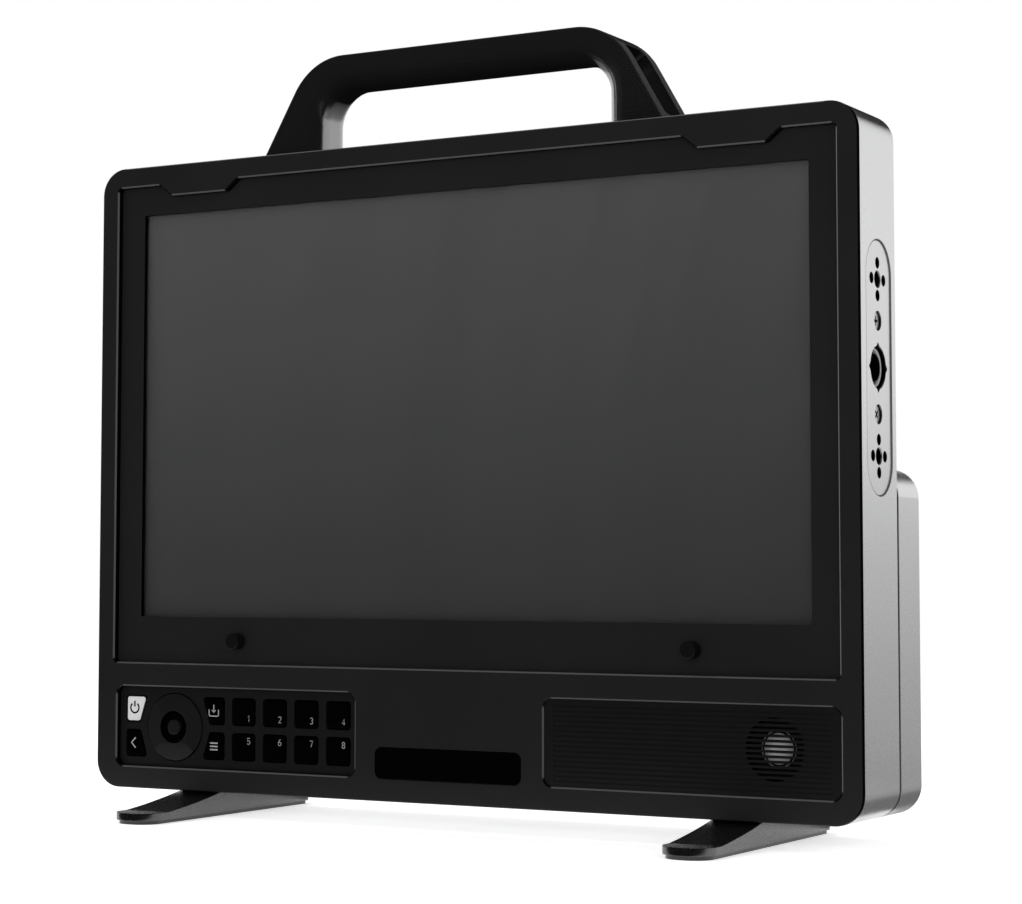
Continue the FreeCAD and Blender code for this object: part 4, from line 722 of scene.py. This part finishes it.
def turned(name, profile, centre, axis, paint, body, steps=48):
    mesh = bpy.data.meshes.new(name)
    bm = bmesh.new()
    ringsMade = []
    for radius, depth in profile:
        ring = []
        for i in range(steps):
            a = 2 * math.pi * i / steps
            ring.append(bm.verts.new((radius * math.cos(a) * mm, radius * math.sin(a) * mm, depth * mm)))
        ringsMade.append(ring)
    for first, second in zip(ringsMade, ringsMade[1:]):
        for i in range(steps):
            j = (i + 1) % steps
            bm.faces.new((first[i], first[j], second[j], second[i]))
    if profile[0] != profile[-1]:
        bm.faces.new(ringsMade[0])
        bm.faces.new(ringsMade[-1])
    bmesh.ops.remove_doubles(bm, verts=bm.verts, dist=1e-7)
    bmesh.ops.recalc_face_normals(bm, faces=bm.faces)
    bm.to_mesh(mesh)
    bm.free()
    for face in mesh.polygons:
        face.use_smooth = len(face.vertices) == 4
    mesh.transform(Matrix.Translation(centre) @ axis.to_track_quat("Z", "Y").to_matrix().to_4x4())
    addPiece(name, mesh, paint, body)


jackRow = middleOf("coax_jacks")
jackRow.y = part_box("coax_jacks")[1].y - jackInsert["sink"] * mm
for index, x in enumerate(rowOffsets(jackInsert["count"], jackInsert["pitch"])):
    spot = jackRow + toRight * x * mm
    turned("jackInsulator%d" % index, jackInsert["insulator"], spot, toBack,
           insulatorWhite, "monitor")
    turned("jackContact%d" % index, jackInsert["contact"], spot, toBack,
           contactGold, "monitor")
thick, root, tip = inletPins["radius"], inletPins["root"], inletPins["tip"]
pinProfile = [(thick, root), (thick, tip - 1.0), (thick * 0.93, tip - 0.5), (thick * 0.7, tip - 0.12),
              (thick * 0.3, tip)]
inletMouth = middleOf("power_inlet")
inletMouth.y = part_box("power_inlet")[1].y
for index in range(inletPins["count"]):
    turn = 2 * math.pi * (index + 0.5) / inletPins["count"]
    spot = inletMouth + (toRight * math.cos(turn) + toUp * math.sin(turn)) * inletPins["circle"] * mm
    turned("inletPin%d" % index, pinProfile, spot, toBack, contactGold, "monitor")
wires = []
for x in rowOffsets(networkWires["count"], networkWires["pitch"]):
    wires.append([(x, bend) for bend in networkWires["bends"]])
spot = bodyPoint(networkWires["place"], networkWires["mouth"], networkWires["height"])
strokeSign("networkContacts", wires, networkWires["stroke"], spot, toRight, toBack,
           contactGold, "monitor")
print("connector inserts set")


# rings: the bevelled collar round the joystick, the rim of the speaker's dust cap, the side panel's seal

collar = {"outer": 9.6, "lip": 0.1, "inner": 9.15, "face": 228.2, "slope": 0.2, "floor": 224.65}
capRing = {"radius": 9.0, "width": 0.34, "depth": 6.6}
sideSeal = {"inner": 17.03, "outer": 17.47, "reach": 46.3, "floor": 228.0, "face": 230.8}

outer, inner, face, floor = (collar[k] for k in ("outer", "inner", "face", "floor"))
collarProfile = [(outer, floor), (outer, face), (outer - collar["lip"], face),
                 (inner, face - collar["slope"]), (inner, floor), (outer, floor)]
stickSpot = middleOf("joystick_cap")
stickSpot.x = 0
turned("stickCollar", collarProfile, stickSpot, toRight, collarSilver, "monitor", 64)
radius, half, depth = capRing["radius"], capRing["width"] / 2, capRing["depth"]
inner, outer = radius - half, radius + half
ringProfile = [(inner, depth + 0.2), (inner, depth - 0.1), (radius, depth - 0.3), (outer, depth - 0.1),
               (outer, depth + 0.2), (inner, depth + 0.2)]
capSpot = middleOf("speaker_dust_cap")
capSpot.y = frontY
turned("capRing", ringProfile, capSpot, toBack, capRimFoil, "speaker_cone", 64)


def pillRing(name, look, centre, paint, body, steps=24):
    mesh = bpy.data.meshes.new(name)
    corners = []
    section = (("outer", "floor"), ("outer", "face"), ("inner", "face"), ("inner", "floor"))
    for rim, level in section:
        radius, x = look[rim], look[level]
        for end in (0, 1):
            for i in range(steps + 1):
                a = math.pi * (i / steps + end)
                lift = look["reach"] * (1 - 2 * end) + radius * math.sin(a)
                corners.append((x * mm, centre.y + radius * math.cos(a) * mm, centre.z + lift * mm))
    count = 2 * steps + 2
    faces = []
    for loop in range(4):
        here, there = loop * count, (loop + 1) % 4 * count
        for i in range(count):
            j = (i + 1) % count
            faces.append((here + i, here + j, there + j, there + i))
    mesh.from_pydata(corners, [], faces)
    addPiece(name, mesh, paint, body)


pillRing("sideSeal", sideSeal, stickSpot, seamRubber, "monitor")
print("rings turned")


# studio: white surround, pale floor, three soft lamps, and flags and cards that only reflections see

studio = {
    "floorSize": 14.0, "floorColour": (0.92, 0.92, 0.92), "floorGlow": 0.5, "surround": 0.55,
    "lamps": {
        "lampFront": {"at": (0.5, -2.9, 0.75), "size": (1.6, 1.0), "watts": 19.5},
        "lampTop": {"at": (-1.1, 0.1, 2.4), "size": (1.2, 1.0), "watts": 22.0},
        "lampRight": {"at": (2.3, 0.5, 1.4), "size": (1.4, 1.4), "watts": 10.0},
    },
    "flags": {  # place, tilt in degrees, size and tone
        "flagFront": {"at": (0.2, -2.7, 1.5), "turn": (90, 0, 0), "size": (8.0, 3.4), "tone": 0.01},
        "flagLeft": {"at": (-3.2, -1.55, 1.5), "turn": (90, 0, 90), "size": (2.5, 3.4), "tone": 0.03},
        "flagEast": {"at": (4.1, -1.4, 1.5), "turn": (90, 0, 90), "size": (2.7, 3.4), "tone": 0.01},
        "flagRoof": {"at": (0.2, 1.7, 3.2), "turn": (0, 0, 0), "size": (9.0, 8.8), "tone": 0.05},
        "flagLow": {"at": (0.2, -1.48, 0.002), "turn": (0, 0, 0), "size": (8.0, 2.8), "tone": 0.012},
        "cardRear": {"at": (-2.3, 2.35, 0.002), "turn": (0, 0, 0), "size": (5.2, 4.0), "tone": 0.42},
        "flagBack": {"at": (-0.85, 3.2, 1.5), "turn": (90, 0, 0), "size": (3.1, 0.8), "tone": 0.01},
        "cardHigh": {"at": (-0.85, 3.2, 2.65), "turn": (90, 0, 0), "size": (3.1, 1.5), "tone": 0.085},
        "cardRight": {"at": (2.3, 1.6, 0.002), "turn": (0, 0, 0), "size": (4.0, 4.0), "tone": 0.42},
        "cardNear": {"at": (0.41, 0.2, 0.003), "turn": (0, 0, 0), "size": (0.28, 0.5), "tone": 0.3},
        "cardUnder": {"at": (0.2403, 0.11, 0.0125), "turn": (0, 0, 0), "size": (0.0274, 0.28), "tone": 0.19},
        "cardBeside": {"at": (0.291, 0.11, 0.0125), "turn": (0, 0, 0), "size": (0.074, 0.28), "tone": 0.42},
        "cardTail": {"at": (0, 0.21, 0.003), "turn": (0, 0, 0), "size": (0.7, 0.28), "tone": 0.4},
        "cardWest": {"at": (-1.15, 0.05, 0.003), "turn": (0, 0, 0), "size": (1.5, 0.3), "tone": 0.4},
        "cardBack": {"at": (2.0, 3.0, 0.15), "turn": (90, 0, -30), "size": (4.0, 0.3), "tone": 0.6},
    },
}


def seenDirectly(tree):  # by the camera, in gloss or through glass
    rays = tree.nodes.new("ShaderNodeLightPath").outputs
    either = compute(tree, "MAXIMUM", rays["Is Camera Ray"], rays["Is Glossy Ray"])
    return compute(tree, "MAXIMUM", either, rays["Is Transmission Ray"])


def flatSheet(name, width, height):
    w, h = width / 2, height / 2
    mesh = bpy.data.meshes.new(name)
    mesh.from_pydata([(-w, -h, 0), (w, -h, 0), (w, h, 0), (-w, h, 0)], [], [(0, 1, 2, 3)])
    return mesh


def surroundLight():
    world = bpy.data.worlds.new("surround")
    scene.world = world
    world.use_nodes = True
    tree = world.node_tree
    tree.nodes.clear()
    out = tree.nodes.new("ShaderNodeOutputWorld")
    seen = tree.nodes.new("ShaderNodeBackground")
    seen.inputs["Color"].default_value = (1, 1, 1, 1)
    seen.inputs["Strength"].default_value = 1.0
    cast = tree.nodes.new("ShaderNodeBackground")
    cast.inputs["Color"].default_value = (1, 1, 1, 1)
    cast.inputs["Strength"].default_value = studio["surround"]
    mix = tree.nodes.new("ShaderNodeMixShader")
    tree.links.new(seenDirectly(tree), mix.inputs["Fac"])
    tree.links.new(cast.outputs["Background"], mix.inputs[1])
    tree.links.new(seen.outputs["Background"], mix.inputs[2])
    tree.links.new(mix.outputs["Shader"], out.inputs["Surface"])


def paleFloor():
    mesh = flatSheet("paleFloor", studio["floorSize"], studio["floorSize"])
    mat, tree, skin, place = startFinish("floorPaper")
    paper = speckle(tree, place, 3.0, 2.0)
    tone = studio["floorColour"]
    tree.links.new(mixColour(tree, paper, shade(tone, 0.99), tone), skin.inputs["Base Color"])
    skin.inputs["Roughness"].default_value = 0.9
    skin.inputs["Specular IOR Level"].default_value = 0.0
    skin.inputs["Emission Color"].default_value = (1, 1, 1, 1)
    glow = spread(tree, seenDirectly(tree), 0.0, studio["floorGlow"], 0.0, 1.0)
    tree.links.new(glow, skin.inputs["Emission Strength"])
    mesh.materials.append(mat)
    floor = bpy.data.objects.new("paleFloor", mesh)
    scene.collection.objects.link(floor)


def softLamp(name, look):
    light = bpy.data.lights.new(name, "AREA")
    light.shape = "RECTANGLE"
    light.size, light.size_y = look["size"]
    light.energy = look["watts"]
    lamp = bpy.data.objects.new(name, light)
    lamp.location = look["at"]
    aim = Vector((0, 0, 0.2)) - lamp.location
    lamp.rotation_euler = aim.to_track_quat("-Z", "Y").to_euler()
    lamp.visible_glossy = False
    scene.collection.objects.link(lamp)


def reflectionFlag(name, look):
    mesh = flatSheet(name, *look["size"])
    mat = bpy.data.materials.new(name)
    mat.use_nodes = True
    tree = mat.node_tree
    tree.nodes.clear()
    out = tree.nodes.new("ShaderNodeOutputMaterial")
    glow = tree.nodes.new("ShaderNodeEmission")
    glow.inputs["Strength"].default_value = look["tone"]
    tree.links.new(glow.outputs["Emission"], out.inputs["Surface"])
    mesh.materials.append(mat)
    flag = bpy.data.objects.new(name, mesh)
    flag.location = look["at"]
    flag.rotation_euler = [math.radians(a) for a in look["turn"]]
    flag.visible_camera = False
    flag.visible_diffuse = False
    flag.visible_shadow = False
    flag.visible_transmission = False
    scene.collection.objects.link(flag)


surroundLight()
paleFloor()
for lampName, lampLook in studio["lamps"].items():
    softLamp(lampName, lampLook)
for flagName, flagLook in studio["flags"].items():
    reflectionFlag(flagName, flagLook)
print("studio lit")


# camera at the photograph's place

view = {  # place in millimetres from the body's front, turns in degrees, the rest in picture points
    "at": (676.38, -1157.79, 121.5), "yaw": 30.436, "pitch": 3.944, "roll": 0.130, "focal": 2537.33,
    "middle": (440.94, 397.76), "picture": (1022, 904),
}


def photoCamera():
    yaw, pitch, roll = (math.radians(view[k]) for k in ("yaw", "pitch", "roll"))
    ahead = Vector((-math.sin(yaw) * math.cos(pitch), math.cos(yaw) * math.cos(pitch), math.sin(pitch)))
    level = Vector((math.cos(yaw), math.sin(yaw), 0))
    upright = level.cross(ahead)
    right = level * math.cos(roll) + upright * math.sin(roll)
    up = upright * math.cos(roll) - level * math.sin(roll)
    width, height = view["picture"]
    lens = bpy.data.cameras.new("photoCamera")
    lens.sensor_width = 36.0
    lens.lens = view["focal"] / width * lens.sensor_width
    lens.shift_x = (width / 2 - view["middle"][0]) / width
    lens.shift_y = (view["middle"][1] - height / 2) / width
    lens.clip_start = 0.05
    lens.clip_end = 50.0
    camera = bpy.data.objects.new("photoCamera", lens)
    turn = Matrix((right, up, -ahead)).transposed().to_4x4()
    camera.matrix_world = Matrix.Translation(bodyPoint(*view["at"])) @ turn
    scene.collection.objects.link(camera)
    scene.camera = camera


photoCamera()
scene.view_settings.view_transform = "Standard"
print("camera set")
